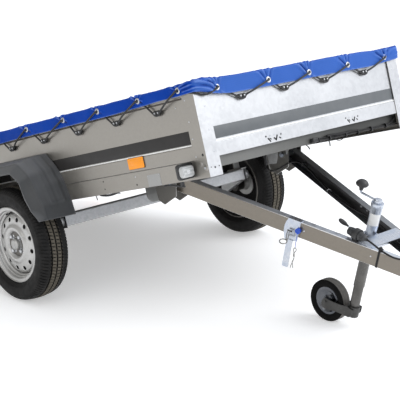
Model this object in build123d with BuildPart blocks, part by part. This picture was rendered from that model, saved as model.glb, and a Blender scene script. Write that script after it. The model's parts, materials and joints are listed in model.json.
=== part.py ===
from build123d import *
import os
from math import sin, cos, tan, radians, degrees, hypot

# Two-wheeled utility trailer with a tipping bed, standing on its wheels and its
# jockey wheel, bed tipped nose-up on a folded drawbar.
# Millimetres. Row frame: +X forward, +Y left, +Z up, origin on the ground.
# Most pieces are drawn in the bed's own frame (origin at the wheel axis, x along
# the floor, z square to the floor) or in the drawbar's frame (origin near its pivot,
# x along the drawbar), and those two frames are placed here.

os.makedirs("parts", exist_ok=True)

# ---- driving dimensions -----------------------------------------------------
BED_TIP = 15.18           # bed nose-up from the ground, degrees
BAR_FOLD = 29.28          # drawbar nose-down from the bed, degrees
ORIGIN_X = -443.1         # shift that centres the box on the origin

TYRE_D, TYRE_W = 547.0, 157.0
TRACK = 1475.0
FLANGE_D, BEAD_D, RIM_HALF = 364.0, 330.0, 57.0
HUB_FACE = 30.0           # wheel mounting face, outboard of the tyre's centre plane
STUB_R, STUB_CLEAR = 17.0, 0.05

BED_W = 1285.0
BED_FRONT, BED_REAR = 1297.0, -1063.0
RAIL_BOTTOM, RAIL_TOP = 154.0, 228.0
RAIL_FLANGE, RAIL_T = 40.0, 3.0
WALL_TOP, WALL_FOOT = 520.0, 229.0
SHEET = 3.0               # wall sheet
RIM_CHANNEL = 22.0        # folded-over top edge of a wall
STEP_Z, STEP = 290.0, 4.0  # long ridge pressed into the walls
POST_FRONT, POST_REAR, POST_T = 70.0, 22.0, 3.0
FLOOR_T = 9.0

AXLE_X, AXLE_Z, AXLE_BOX = 150.0, 61.0, 60.0
AXLE_HALF = 600.0

BAR_X, BAR_Z = 746.0, 155.0            # drawbar frame's origin, in the bed frame
PIVOT_U, PIN_R, PIN_CLEAR = 24.0, 8.0, 0.05   # pivot pin, along the drawbar from there
PIVOT_X = BAR_X + PIVOT_U * cos(radians(BAR_FOLD))
PIVOT_Z = BAR_Z - PIVOT_U * sin(radians(BAR_FOLD))
BEAM_H, BEAM_B, BEAM_T = 69.6, 37.0, 4.0
BEAM_Y0, BEAM_SPLAY = 398.7, 16.29     # web's outer face at the pivot, half of the V
BEAM_TAIL, BEAM_NOSE = -10.0, 1276.0

POST_U = 835.0            # jockey post, along the drawbar from the pivot
POST_R, LEG_R = 24.0, 21.4
KING_R = 9.0
JOCKEY_R, JOCKEY_W, JOCKEY_TRAIL, JOCKEY_W_AXLE = 95.0, 48.0, 132.0, -363.0
POST_FOOT, POST_HEAD, LEG_FOOT, LEG_HEAD = -225.0, 155.0, -364.0, 100.0

TARP_GAP, TARP_T, TARP_TOP, TARP_HEM = 8.0, 5.0, 527.0, 472.0
TARP_SPLIT = -1032.0      # rear end of the fixed cover

# ---- frames -----------------------------------------------------------------
BED = Location((ORIGIN_X, 0, TYRE_D / 2), (0, -BED_TIP, 0))
BAR = BED * Location((BAR_X, 0, BAR_Z), (0, BAR_FOLD, 0))
BED_XY = Plane(BED)
BAR_XY = Plane(BAR)


def side_plane(frame, y):
    """Plane of a side profile at this y: sketch x runs forward, sketch y up."""
    return Plane(frame * Plane.XZ.offset(-y).location)


def cross_plane(frame, x):
    """Plane of a cross-section at this x: sketch x runs left, sketch y up."""
    return Plane(frame * Plane.YZ.offset(x).location)


SIDES = (("right", -1), ("left", 1))

# ---- chassis ----------------------------------------------------------------
hw = BED_W / 2
with BuildPart() as side_rails:
    for _, s in SIDES:
        with BuildSketch(cross_plane(BED, BED_REAR + 8)):
            with BuildLine():
                o = s * (hw - POST_T)
                i = o - s * RAIL_FLANGE
                t = s * RAIL_T
                Polyline((o, RAIL_BOTTOM), (o, RAIL_TOP), (i, RAIL_TOP), (i, RAIL_TOP - RAIL_T),
                         (o - t, RAIL_TOP - RAIL_T), (o - t, RAIL_BOTTOM + RAIL_T),
                         (i, RAIL_BOTTOM + RAIL_T), (i, RAIL_BOTTOM), close=True)
            make_face()
        extrude(amount=BED_FRONT - BED_REAR - 20)
side_rails.part.label = "side_rails"
export_step(side_rails.part, "parts/side_rails.step")

# name, x of the centre, width, bottom z, top z, half length
CROSS = (("rear", -1030, 40, 165, 218, 599),
         ("middle_rear", -450, 40, 178, 218, 599),
         ("axle", 150, 50, 165, 218, 599),
         ("pivot", 590, 40, 165, 218, 599),
         ("front", 1250, 30, 185, 228, 599))
with BuildPart() as cross_members:
    for _, x, w, z0, z1, half in CROSS:
        with BuildSketch(Plane(BED * Plane.XZ.offset(-half).location)):
            with Locations((x, (z0 + z1) / 2)):
                Rectangle(w, z1 - z0)
                Rectangle(w - 6, z1 - z0 - 6, mode=Mode.SUBTRACT)
        extrude(amount=2 * half)
cross_members.part.label = "cross_members"
export_step(cross_members.part, "parts/cross_members.step")

with BuildPart(BED_XY) as floor_board:
    with Locations(((BED_REAR + 16 + 1234) / 2, 0, RAIL_TOP - FLOOR_T / 2)):
        Box(1234 - BED_REAR - 16, 2 * 598, FLOOR_T)
floor_board.part.label = "floor_board"
export_step(floor_board.part, "parts/floor_board.step")


def wall_profile(o, s, foot=34.0):
    """Folded wall sheet: foot lip, proud lower band, ridge, flat upper band, rim channel.
    o is the outer face, s the side that it faces (+1 or -1)."""
    a, b = o, o - s * STEP
    return Polyline(
        (a, WALL_FOOT), (a, STEP_Z - 6), (b, STEP_Z + 2), (b, WALL_TOP - 30), (a, WALL_TOP - 24), (a, WALL_TOP),
        (a - s * RIM_CHANNEL, WALL_TOP), (a - s * RIM_CHANNEL, WALL_TOP - 18),
        (a - s * (RIM_CHANNEL - SHEET), WALL_TOP - 18), (a - s * (RIM_CHANNEL - SHEET), WALL_TOP - SHEET),
        (a - s * SHEET, WALL_TOP - SHEET), (a - s * SHEET, WALL_TOP - 25), (b - s * SHEET, WALL_TOP - 31),
        (b - s * SHEET, STEP_Z + 3), (a - s * SHEET, STEP_Z - 5),
        (a - s * SHEET, WALL_FOOT + 2), (a - s * foot, WALL_FOOT + 2), (a - s * foot, WALL_FOOT), close=True)


for name, s in SIDES:
    with BuildPart() as side_panel:
        with BuildSketch(cross_plane(BED, BED_REAR + POST_T)):
            with BuildLine():
                wall_profile(s * (hw - POST_T), s)
            make_face()
        extrude(amount=BED_FRONT - BED_REAR - 2 * POST_T)
    side_panel.part.label = "side_panel_" + name
    export_step(side_panel.part, f"parts/side_panel_{name}.step")

with BuildPart() as front_panel:
    with BuildSketch(side_plane(BED, 605)):
        with BuildLine():
            wall_profile(BED_FRONT - POST_T, 1)
        make_face()
    extrude(amount=2 * 605)
front_panel.part.label = "front_panel"
export_step(front_panel.part, "parts/front_panel.step")

# end, x of the outer face, side the face looks, flange along the end, flange along the side
POSTS = (("front", BED_FRONT, 1, POST_FRONT, 72.0), ("rear", BED_REAR, -1, POST_REAR, 60.0))
with BuildPart() as posts:
    for _, s in SIDES:
        for _, x, e, across, along in POSTS:
            with BuildSketch(Plane(BED * Plane.XY.offset(RAIL_BOTTOM).location)):
                with BuildLine():
                    o = s * hw
                    Polyline((x, o), (x, o - s * across), (x - e * POST_T, o - s * across),
                             (x - e * POST_T, o - s * POST_T), (x - e * along, o - s * POST_T),
                             (x - e * along, o), close=True)
                make_face()
            extrude(amount=WALL_TOP - RAIL_BOTTOM)
posts.part.label = "corner_posts"
export_step(posts.part, "parts/corner_posts.step")

# ---- tailgate ---------------------------------------------------------------
GATE_HALF = 600.0
HINGE_X, HINGE_Z, HINGE_R = BED_REAR - 9.0, 224.0, 5.0
with BuildPart() as tailgate:
    with BuildSketch(side_plane(BED, GATE_HALF)):
        with BuildLine():
            wall_profile(BED_REAR, -1, 13.0)
        make_face()
    extrude(amount=2 * GATE_HALF)
tailgate.part.label = "tailgate"
export_step(tailgate.part, "parts/tailgate.step")

HINGE_Y = (-430.0, 0.0, 430.0)
with BuildPart() as gate_knuckles:
    for y in HINGE_Y:
        with BuildSketch(side_plane(BED, y + 24)):
            with BuildLine():
                Polyline((HINGE_X, HINGE_Z), (HINGE_X - 6, HINGE_Z), (HINGE_X - 6, HINGE_Z + 8), (BED_REAR - 3, HINGE_Z + 14),
                         (BED_REAR - 3, 276), (BED_REAR, 276), (BED_REAR, 231), (HINGE_X + 6, 231), (HINGE_X + 6, HINGE_Z), close=True)
            make_face()
            with Locations((HINGE_X, HINGE_Z)):
                Circle(9.0)
                Circle(HINGE_R + 0.05, mode=Mode.SUBTRACT)
        extrude(amount=48)
gate_knuckles.part.label = "tailgate_hinge_leaves"
export_step(gate_knuckles.part, "parts/tailgate_hinge_leaves.step")

with BuildPart() as gate_pins:
    for y in HINGE_Y:
        with BuildSketch(side_plane(BED, y + 50)):
            with Locations((HINGE_X, HINGE_Z)):
                Circle(HINGE_R)
        extrude(amount=100)
        for y1 in (y + 50, y - 30):
            with BuildSketch(side_plane(BED, y1)):
                with BuildLine():
                    Polyline((HINGE_X - 8, HINGE_Z + 6.5), (HINGE_X + 6, HINGE_Z + 3), (BED_REAR + 8, HINGE_Z - 9), (BED_REAR + 8, 172),
                             (BED_REAR + 1, 172), (BED_REAR + 1, HINGE_Z - 18), (HINGE_X - 8, HINGE_Z - 9), close=True)
                make_face()
            extrude(amount=20)
gate_pins.part.label = "tailgate_hinge_pins"
export_step(gate_pins.part, "parts/tailgate_hinge_pins.step")

with BuildPart(BED_XY) as rear_beam:
    with Locations((BED_REAR + 10.5, 0, 188)):
        Box(3, 2 * 598, 60)
rear_beam.part.label = "rear_skirt_plate"
export_step(rear_beam.part, "parts/rear_skirt_plate.step")

# ---- axle and suspension ----------------------------------------------------
with BuildPart() as axle_beam:
    with BuildSketch(side_plane(BED, AXLE_HALF)):
        with Locations((AXLE_X, AXLE_Z)):
            RectangleRounded(AXLE_BOX, AXLE_BOX, 8)
            RectangleRounded(AXLE_BOX - 8, AXLE_BOX - 8, 4, mode=Mode.SUBTRACT)
    extrude(amount=2 * AXLE_HALF)
axle_beam.part.label = "axle_beam"
export_step(axle_beam.part, "parts/axle_beam.step")

with BuildPart(BED_XY) as axle_end_plates:
    for _, s in SIDES:
        with Locations((AXLE_X, s * (AXLE_HALF + 1), AXLE_Z)):
            Box(76, 2, 72)
axle_end_plates.part.label = "axle_end_plates"
export_step(axle_end_plates.part, "parts/axle_end_plates.step")

with BuildPart(BED_XY) as axle_brackets:
    for _, s in SIDES:
        with Locations((AXLE_X, s * 580, 94)):
            Box(110, 40, 6)
        with Locations((AXLE_X, s * 580, 122.5)):
            Box(8, 40, 57)
        with Locations((AXLE_X, s * 598, 151)):
            Box(130, 76, 6)
axle_brackets.part.label = "axle_brackets"
export_step(axle_brackets.part, "parts/axle_brackets.step")

with BuildPart() as suspension_arms:
    for _, s in SIDES:
        start = Plane(BED * Plane.XZ.offset(-s * 602).location)
        with BuildSketch(start):
            with Locations((AXLE_X, AXLE_Z)):
                Circle(30)
            with BuildLine():
                Polyline((AXLE_X - 8, AXLE_Z + 29), (-6, 26), (-6, -26), (AXLE_X + 10, AXLE_Z - 28), close=True)
            make_face()
            with Locations((0, 0)):
                Circle(26)
        extrude(amount=-s * 30)
        with BuildSketch(start):
            Circle(STUB_R)
        extrude(amount=-s * (TRACK / 2 + HUB_FACE + 4 - 602))
suspension_arms.part.label = "suspension_arms"
export_step(suspension_arms.part, "parts/suspension_arms.step")

# ---- wheels -----------------------------------------------------------------
# Profiles are in (radius, distance outboard of the tyre's centre plane).
for name, s in SIDES:
    y0 = s * TRACK / 2
    # sketch x = outboard, sketch y = radius
    wheel = Plane(origin=(BED * Location((0, y0, 0))).position, x_dir=(0, s, 0), z_dir=(0, 0, 1))
    wheel = Plane(origin=(BED * Location((0, y0, 0))).position, x_dir=(0, s, 0), z_dir=(1, 0, 0) if s > 0 else (-1, 0, 0))
    spin = Axis((BED * Location((0, y0, 0))).position, (0, s, 0))
    with BuildPart() as tyre:
        with BuildSketch(wheel):
            with BuildLine():
                Polyline((-55, BEAD_D / 2 + 1), (55, BEAD_D / 2 + 1))
                Polyline((55, BEAD_D / 2 + 1), (55, FLANGE_D / 2 + 2))
                ThreePointArc((55, FLANGE_D / 2 + 2), (TYRE_W / 2, 226), (66, 264))
                ThreePointArc((66, 264), (0, TYRE_D / 2), (-66, 264))
                ThreePointArc((-66, 264), (-TYRE_W / 2, 226), (-55, FLANGE_D / 2 + 2))
                Polyline((-55, FLANGE_D / 2 + 2), (-55, BEAD_D / 2 + 1))
            make_face()
        revolve(axis=spin)
    tyre.part.label = "tyre_" + name
    export_step(tyre.part, f"parts/tyre_{name}.step")

    with BuildPart() as rim:
        with BuildSketch(wheel):
            with BuildLine():
                # barrel: outer flange, bead seat, drop centre, bead seat, inner flange
                Polyline((64, 178), (60, 182), (56, 181), (55.2, BEAD_D / 2 + 0.4), (30, BEAD_D / 2 - 2), (20, 148), (-20, 148),
                         (-34, BEAD_D / 2 - 2), (-55.2, BEAD_D / 2 + 0.4), (-56, 181), (-60, 182), (-64, 178),
                         (-59, 162), (-36, 159), (-22, 144.5), (22, 144.5), (32, 159), (58, 162), close=True)
            make_face()
            with BuildLine():
                # dish: rim seat, hollow, raised bolt ring, hub opening
                Polyline((12, 146), (21, 146), (36, 139), (46, 118), (46, 100), (40, 78), (34, 70), (34, 31), (HUB_FACE, 31),
                         (HUB_FACE, 72), (36, 80), (42, 101), (42, 117), (33, 134), (20, 142.5), (12, 142.5), close=True)
            make_face()
        revolve(axis=spin)
        # round vents near the rim
        with BuildSketch(Plane(origin=wheel.origin + Vector(0, s * 20, 0), x_dir=(1, 0, 0), z_dir=(0, s, 0))):
            with PolarLocations(120, 12, start_angle=24):
                Circle(9.5)
        extrude(amount=40, mode=Mode.SUBTRACT)
    rim.part.label = "rim_" + name
    export_step(rim.part, f"parts/rim_{name}.step")

    with BuildPart() as hub:
        with BuildSketch(wheel):
            with BuildLine():
                Polyline((-62, STUB_R + STUB_CLEAR), (-62, 32), (8, 32), (HUB_FACE - 9, 40), (HUB_FACE - 9, 66), (HUB_FACE, 66),
                         (HUB_FACE, 30), (HUB_FACE + 20, 27), (HUB_FACE + 26, 20), (HUB_FACE + 26, 0), (HUB_FACE + 22, 0),
                         (HUB_FACE + 22, 18), (HUB_FACE + 4.5, 24), (HUB_FACE + 4.5, STUB_R + STUB_CLEAR), close=True)
            make_face()
        revolve(axis=spin)
    hub.part.label = "hub_" + name
    export_step(hub.part, f"parts/hub_{name}.step")

# ---- mudguards --------------------------------------------------------------
# Faceted arch: top width, then a slanted face down to the outer edge.
# x and z of the outline's corners at the crease, and of the same corners at the outer edge
ARCH = ((-345, 90, -300, 90), (-268, 295, -225, 272), (-212, 385, -176, 333), (212, 385, 176, 333), (268, 295, 225, 272), (345, 90, 300, 90))
GUARD_IN, GUARD_CREASE, GUARD_OUT, GUARD_T = 639.5, 780.0, 830.0, 4.0
for name, s in SIDES:
    with BuildPart() as guard:
        # flat-topped arch plate
        with BuildSketch(Plane(BED * Plane.XZ.offset(-s * GUARD_IN).location)):
            with BuildLine():
                top = [(x, z) for x, z, _, _ in ARCH]
                low = [(-340, 90), (-264, 293), (-210, 380.5), (210, 380.5), (264, 293), (340, 90)]
                Polyline(*top, *reversed(low), close=True)
            make_face()
        extrude(amount=-s * (GUARD_CREASE - GUARD_IN))
        # slanted outer face, as a loft of the arch outline to the outer edge
        with BuildSketch(Plane(BED * Plane.XZ.offset(-s * GUARD_CREASE).location)):
            with BuildLine():
                Polyline(*top, *reversed(low), close=True)
            make_face()
        with BuildSketch(Plane(BED * Plane.XZ.offset(-s * GUARD_OUT).location)):
            with BuildLine():
                out = [(x, z) for _, _, x, z in ARCH]
                inn = [(-295, 90), (-220.5, 270), (-173.5, 328.5), (173.5, 328.5), (220.5, 270), (295, 90)]
                Polyline(*out, *reversed(inn), close=True)
            make_face()
        loft(ruled=True)
    guard.part.label = "mudguard_" + name
    export_step(guard.part, f"parts/mudguard_{name}.step")

# ---- pivot brackets and pins ------------------------------------------------
EAR_OUT, EAR_IN, EAR_T = 407.0, 318.0, 5.0
EAR = ((655, 215), (826, 215), (803, 127), (788, 80), (701, 52), (666, 74))
BACK_X, BACK_T = 612.0, 5.0       # plate facing forward, behind each pair of ears
with BuildPart() as pivot_brackets:
    for _, s in SIDES:
        for y in (EAR_OUT, EAR_IN):
            with BuildSketch(Plane(BED * Plane.XZ.offset(-s * y).location)):
                with BuildLine():
                    Polyline(*EAR, close=True)
                make_face()
                with Locations((PIVOT_X, PIVOT_Z)):
                    Circle(PIN_R, mode=Mode.SUBTRACT)
            extrude(amount=-s * EAR_T)
        with BuildSketch(Plane(BED * Plane.XY.offset(213).location)):
            with Locations(((BACK_X + 826) / 2, s * (EAR_OUT + EAR_T + EAR_IN) / 2)):
                Rectangle(826 - BACK_X, EAR_OUT + EAR_T - EAR_IN)
        extrude(amount=5)
        with BuildSketch(cross_plane(BED, BACK_X)):
            with BuildLine():
                Polyline((s * 400, 70), (s * 362, 70), (s * 362, 216), (s * 432, 216), (s * 432, 112))
                ThreePointArc((s * 432, 112), (s * 422, 82), (s * 400, 70))
            make_face()
        extrude(amount=BACK_T)
pivot_brackets.part.label = "pivot_brackets"
export_step(pivot_brackets.part, "parts/pivot_brackets.step")

with BuildPart() as pivot_pins:
    for _, s in SIDES:
        with BuildSketch(Plane(BED * Plane.XZ.offset(-s * (EAR_IN - 14)).location)):
            with Locations((PIVOT_X, PIVOT_Z)):
                Circle(PIN_R)
        extrude(amount=-s * (EAR_OUT + EAR_T + 16 - EAR_IN + 14))
        for y in (EAR_IN - 10, EAR_OUT + EAR_T):
            with BuildSketch(Plane(BED * Plane.XZ.offset(-s * y).location)):
                with Locations((PIVOT_X, PIVOT_Z)):
                    RegularPolygon(13, 6)
            extrude(amount=-s * 10)
pivot_pins.part.label = "pivot_pins"
export_step(pivot_pins.part, "parts/pivot_pins.step")

# ---- drawbar ----------------------------------------------------------------
for name, s in SIDES:
    beam_frame = BAR * Location((0, s * BEAM_Y0, 0), (0, 0, -s * BEAM_SPLAY))
    with BuildPart() as beam:
        with BuildSketch(Plane(beam_frame * Plane.YZ.offset(BEAM_TAIL).location)):
            with BuildLine():
                h, b, t = BEAM_H / 2, -s * BEAM_B, -s * BEAM_T
                Polyline((0, -h), (0, h), (b, h), (b, h - BEAM_T), (t, h - BEAM_T), (t, -h + BEAM_T), (b, -h + BEAM_T), (b, -h), close=True)
            make_face()
        extrude(amount=BEAM_NOSE - BEAM_TAIL)
        # welded pivot bush, square to the pin
        with BuildSketch(Plane(BAR * Plane.XZ.offset(-s * (EAR_IN + EAR_T + 3)).location)):
            with Locations((PIVOT_U, 0)):
                Circle(14)
        extrude(amount=-s * (EAR_OUT - EAR_IN - EAR_T - 6))
        with BuildSketch(Plane(BAR * Plane.XZ.offset(-s * EAR_IN).location)):
            with Locations((PIVOT_U, 0)):
                Circle(PIN_R + PIN_CLEAR)
        extrude(amount=-s * 100, mode=Mode.SUBTRACT)
    beam.part.label = "drawbar_beam_" + name
    export_step(beam.part, f"parts/drawbar_beam_{name}.step")

with BuildPart(BAR_XY) as crossplate:
    with Locations((POST_U + 66.5, 0, BEAM_H / 2 + 2.5)):
        Box(69, 2 * 125, 5)
    with Locations((POST_U + 34.5, 0, 3)):
        Box(5, 2 * 100, 66)
crossplate.part.label = "jockey_crossplate"
export_step(crossplate.part, "parts/jockey_crossplate.step")

with BuildPart() as clamp:
    with BuildSketch(Plane(BAR * Plane.XY.offset(-14).location)):
        with Locations((POST_U, 0)):
            Circle(POST_R + 7)
        with Locations((POST_U + 27, 0)):
            Rectangle(10, 40)
        with Locations((POST_U, 0)):
            Circle(POST_R + 0.1, mode=Mode.SUBTRACT)
    extrude(amount=42)
clamp.part.label = "jockey_clamp"
export_step(clamp.part, "parts/jockey_clamp.step")

# hand screw of the clamp: threaded rod and a long grip, slanting back and to the right
ROD_TIP, GRIP_NEAR = Vector(821.7, -31, 11.6), Vector(763, -74, 50)
with BuildPart() as handle:
    rod = Plane(origin=(BAR * Location(ROD_TIP)).position,
                z_dir=(BAR * Location(GRIP_NEAR)).position - (BAR * Location(ROD_TIP)).position)
    with BuildSketch(rod):
        Circle(4)
    extrude(amount=(GRIP_NEAR - ROD_TIP).length)
    with BuildSketch(rod.offset(6)):
        RegularPolygon(9, 6)
    extrude(amount=9)
handle.part.label = "clamp_handle"
export_step(handle.part, "parts/clamp_handle.step")

with BuildPart() as grip:
    near = (BAR * Location(GRIP_NEAR)).position
    along = near - (BAR * Location(ROD_TIP)).position
    with BuildSketch(Plane(origin=near, x_dir=along, z_dir=along.cross(Vector(0, 1, 0)))):
        with BuildLine():
            Polyline((0, 0), (0, 5.5), (8, 6.5), (34, 8))
            ThreePointArc((34, 8), (42, 6), (46, 1.5))
            Polyline((46, 1.5), (46, 0), (0, 0))
        make_face()
    revolve(axis=Axis(near, along))
grip.part.label = "clamp_grip"
export_step(grip.part, "parts/clamp_grip.step")

# coupler: top plate over the beams, pressed head with a ball socket, hand lever
with BuildPart() as coupler_plate:
    with BuildSketch(Plane(BAR * Plane.XY.offset(BEAM_H / 2).location)):
        with BuildLine():
            Polyline((1120, 70), (1225, 40), (1225, -40), (1120, -70), close=True)
        make_face()
    extrude(amount=5)
coupler_plate.part.label = "coupler_plate"
export_step(coupler_plate.part, "parts/coupler_plate.step")

BALL_U, BALL_W, BALL_R = 1372.0, 52.0, 25.3
with BuildPart() as coupler:
    with BuildSketch(Plane(BAR * Plane.XZ.offset(-30).location)):
        with BuildLine():
            Polyline((1124, 39.8), (1310, 39.8), (1336, 30), (1410, 30), (1410, 70), (1395, 88), (1330, 92), (1200, 84), (1124, 68), close=True)
        make_face()
    extrude(amount=60)
    fillet(coupler.edges().filter_by(Axis(BAR.position, BAR_XY.z_dir)), 8)
    with BuildSketch(Plane(BAR * Plane.XZ.offset(0).location)):
        with BuildLine():
            Line((BALL_U, 20), (BALL_U, BALL_W + BALL_R))
            ThreePointArc((BALL_U, BALL_W + BALL_R), (BALL_U + BALL_R * 0.70710678, BALL_W + BALL_R * 0.70710678), (BALL_U + BALL_R, BALL_W))
            Line((BALL_U + BALL_R, BALL_W), (BALL_U + BALL_R, 20))
            Line((BALL_U + BALL_R, 20), (BALL_U, 20))
        make_face()
    revolve(axis=Axis((BAR * Location((BALL_U, 0, 0))).position, BAR_XY.z_dir), mode=Mode.SUBTRACT)
coupler.part.label = "coupler_head"
export_step(coupler.part, "parts/coupler_head.step")

with BuildPart() as lever:
    with BuildSketch(Plane(BAR * Plane.XZ.offset(-22).location)):
        with BuildLine():
            Polyline((1180, 98), (1330, 104), (1395, 100), (1395, 106), (1330, 112), (1180, 106), (1150, 116), (1146, 110), close=True)
        make_face()
    extrude(amount=44)
lever.part.label = "coupler_lever"
export_step(lever.part, "parts/coupler_lever.step")

# ---- jockey wheel -----------------------------------------------------------
with BuildPart() as outer_tube:
    with BuildSketch(Plane(BAR * Plane.XY.offset(POST_FOOT).location)):
        with Locations((POST_U, 0)):
            Circle(POST_R)
            Circle(LEG_R + 0.1, mode=Mode.SUBTRACT)
    extrude(amount=POST_HEAD - POST_FOOT)
    with BuildSketch(Plane(BAR * Plane.XY.offset(POST_HEAD).location)):
        with Locations((POST_U, 0)):
            Circle(POST_R + 3)
    extrude(amount=17)
outer_tube.part.label = "jockey_outer_tube"
export_step(outer_tube.part, "parts/jockey_outer_tube.step")

with BuildPart() as crank:
    with BuildSketch(Plane(BAR * Plane.XY.offset(172).location)):
        with Locations((POST_U, 0)):
            Circle(10)
    extrude(amount=14)
    with BuildLine(Plane(BAR * Plane.XZ.location)):
        path = FilletPolyline((POST_U, 179), (POST_U - 96, 179), (POST_U - 96, 200), radius=9)
    with BuildSketch(Plane(origin=path @ 0, z_dir=path % 0)):
        Circle(5)
    sweep()
crank.part.label = "jockey_crank"
export_step(crank.part, "parts/jockey_crank.step")

with BuildPart() as knob:
    with BuildSketch(Plane(BAR * Plane.XZ.location)):
        with BuildLine():
            u = POST_U - 96
            Polyline((u, 200), (u + 11, 200), (u + 10, 207), (u + 24, 210), (u + 28, 217))
            ThreePointArc((u + 28, 217), (u + 20, 230), (u + 6, 237))
            Polyline((u + 6, 237), (u, 237), (u, 200))
        make_face()
    revolve(axis=Axis((BAR * Location((POST_U - 96, 0, 0))).position, BAR_XY.z_dir))
knob.part.label = "crank_knob"
export_step(knob.part, "parts/crank_knob.step")

with BuildPart() as leg:
    with BuildSketch(Plane(BAR * Plane.XY.offset(LEG_FOOT).location)):
        with Locations((POST_U, 0)):
            Circle(LEG_R)
            Circle(LEG_R - 3, mode=Mode.SUBTRACT)
    extrude(amount=LEG_HEAD - LEG_FOOT)
    with BuildSketch(Plane(BAR * Plane.XY.offset(LEG_FOOT).location)):
        with Locations((POST_U, 0)):
            Circle(LEG_R)
            Circle(KING_R + 0.05, mode=Mode.SUBTRACT)
    extrude(amount=14)
leg.part.label = "jockey_leg"
export_step(leg.part, "parts/jockey_leg.step")

# swivelling fork: a socket round the leg's foot, carried by a kingpin, and two
# side arms that curve back from it to the axle
FORK_IN, FORK_T, SOCKET_R, SOCKET_FOOT, SOCKET_HEAD = 30.0, 4.0, 26.0, -372.0, -324.0
with BuildPart() as fork:
    for _, s in SIDES:
        with BuildSketch(Plane(BAR * Plane.XZ.offset(-s * FORK_IN).location)):
            with BuildLine():
                Polyline((852, -330), (852, -352))
                ThreePointArc((852, -352), (846, -366), (832, -372))
                ThreePointArc((832, -372), (770, -381), (716, -396))
                ThreePointArc((716, -396), (690, -388), (687, -362))
                ThreePointArc((687, -362), (697, -349), (716, -347))
                ThreePointArc((716, -347), (765, -341), (818, -328))
                Line((818, -328), (852, -330))
            make_face()
        extrude(amount=-s * FORK_T)
    with BuildSketch(Plane(BAR * Plane.XY.offset(SOCKET_FOOT).location)):
        with Locations((POST_U, 0)):
            Circle(SOCKET_R)
    extrude(amount=SOCKET_HEAD - SOCKET_FOOT)
    with BuildSketch(Plane(BAR * Plane.XZ.offset(-(FORK_IN + 1)).location)):
        with BuildLine():
            Polyline((820, -334), (850, -334), (850, -352))
            ThreePointArc((850, -352), (845, -366), (832, -371))
            Polyline((832, -371), (820, -371), (820, -334))
        make_face()
    extrude(amount=2 * (FORK_IN + 1))
    with BuildSketch(Plane(BAR * Plane.XY.offset(LEG_FOOT - 0.5).location)):
        with Locations((POST_U, 0)):
            Circle(LEG_R + 0.4)
    extrude(amount=60, mode=Mode.SUBTRACT)
    with BuildSketch(Plane(BAR * Plane.XZ.offset(-(FORK_IN + 8)).location)):
        with Locations((POST_U - JOCKEY_TRAIL, JOCKEY_W_AXLE)):
            Circle(6)
    extrude(amount=2 * (FORK_IN + 8))
    with BuildSketch(Plane(BAR * Plane.XY.offset(LEG_FOOT - 4).location)):
        with Locations((POST_U, 0)):
            Circle(KING_R)
    extrude(amount=30)
fork.part.label = "jockey_fork"
export_step(fork.part, "parts/jockey_fork.step")

jockey_centre = BAR * Location((POST_U - JOCKEY_TRAIL, 0, JOCKEY_W_AXLE))
jockey_spin = Axis(jockey_centre.position, (0, 1, 0))
jockey_plane = Plane(origin=jockey_centre.position, x_dir=(0, 1, 0), z_dir=(1, 0, 0))
with BuildPart() as jockey_rim:
    with BuildSketch(jockey_plane):
        with BuildLine():
            Polyline((-26, 6.05), (26, 6.05), (26, 15), (15, 17), (12, 25), (15, 42), (20, 53), (21, 63), (-21, 63), (-20, 53), (-15, 42),
                     (-12, 25), (-15, 17), (-26, 15), close=True)
        make_face()
    revolve(axis=jockey_spin)
jockey_rim.part.label = "jockey_rim"
export_step(jockey_rim.part, "parts/jockey_rim.step")

with BuildPart() as jockey_tyre:
    with BuildSketch(jockey_plane):
        with BuildLine():
            w = JOCKEY_W / 2
            Polyline((-21, 63), (21, 63), (w, 67), (w, 86))
            ThreePointArc((w, 86), (0, JOCKEY_R), (-w, 86))
            Polyline((-w, 86), (-w, 67), (-21, 63))
        make_face()
    revolve(axis=jockey_spin)
jockey_tyre.part.label = "jockey_tyre"
export_step(jockey_tyre.part, "parts/jockey_tyre.step")

# ---- flat cover -------------------------------------------------------------
co = hw + TARP_GAP + TARP_T
with BuildPart(BED_XY) as tarp:
    x1 = BED_FRONT + TARP_GAP + TARP_T
    with Locations(((TARP_SPLIT + x1) / 2, 0, (TARP_HEM + TARP_TOP + TARP_T) / 2)):
        Box(x1 - TARP_SPLIT, 2 * co, TARP_TOP + TARP_T - TARP_HEM)
    with Locations(((TARP_SPLIT - 50 + x1 - TARP_T) / 2, 0, (TARP_HEM - 10 + TARP_TOP) / 2)):
        Box(x1 - TARP_T - TARP_SPLIT + 50, 2 * (co - TARP_T), TARP_TOP - TARP_HEM + 10, mode=Mode.SUBTRACT)
tarp.part.label = "tarp_cover"
export_step(tarp.part, "parts/tarp_cover.step")

with BuildPart() as flap:
    with BuildSketch(side_plane(BED, co)):
        with BuildLine():
            xr = BED_REAR - TARP_GAP - TARP_T
            Polyline((xr, TARP_HEM), (xr, TARP_TOP + TARP_T), (TARP_SPLIT - 8, TARP_TOP + TARP_T), (TARP_SPLIT - 8, TARP_TOP),
                     (xr + TARP_T, TARP_TOP), (xr + TARP_T, TARP_HEM), close=True)
        make_face()
    extrude(amount=2 * co)
flap.part.label = "tarp_rear_flap"
export_step(flap.part, "parts/tarp_rear_flap.step")

# ---- lamps and plates -------------------------------------------------------
with BuildPart(BED_XY) as marker_housings:
    for _, s in SIDES:
        with Locations((1185, s * (hw + 42), 195)):
            Box(26, 84, 66)
marker_housings.part.label = "marker_lamp_holders"
export_step(marker_housings.part, "parts/marker_lamp_holders.step")

with BuildPart(BED_XY) as marker_lenses:
    for _, s in SIDES:
        with Locations((1206, s * 684, 195)):
            Box(16, 64, 52)
marker_lenses.part.label = "marker_lamp_lenses"
export_step(marker_lenses.part, "parts/marker_lamp_lenses.step")

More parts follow.
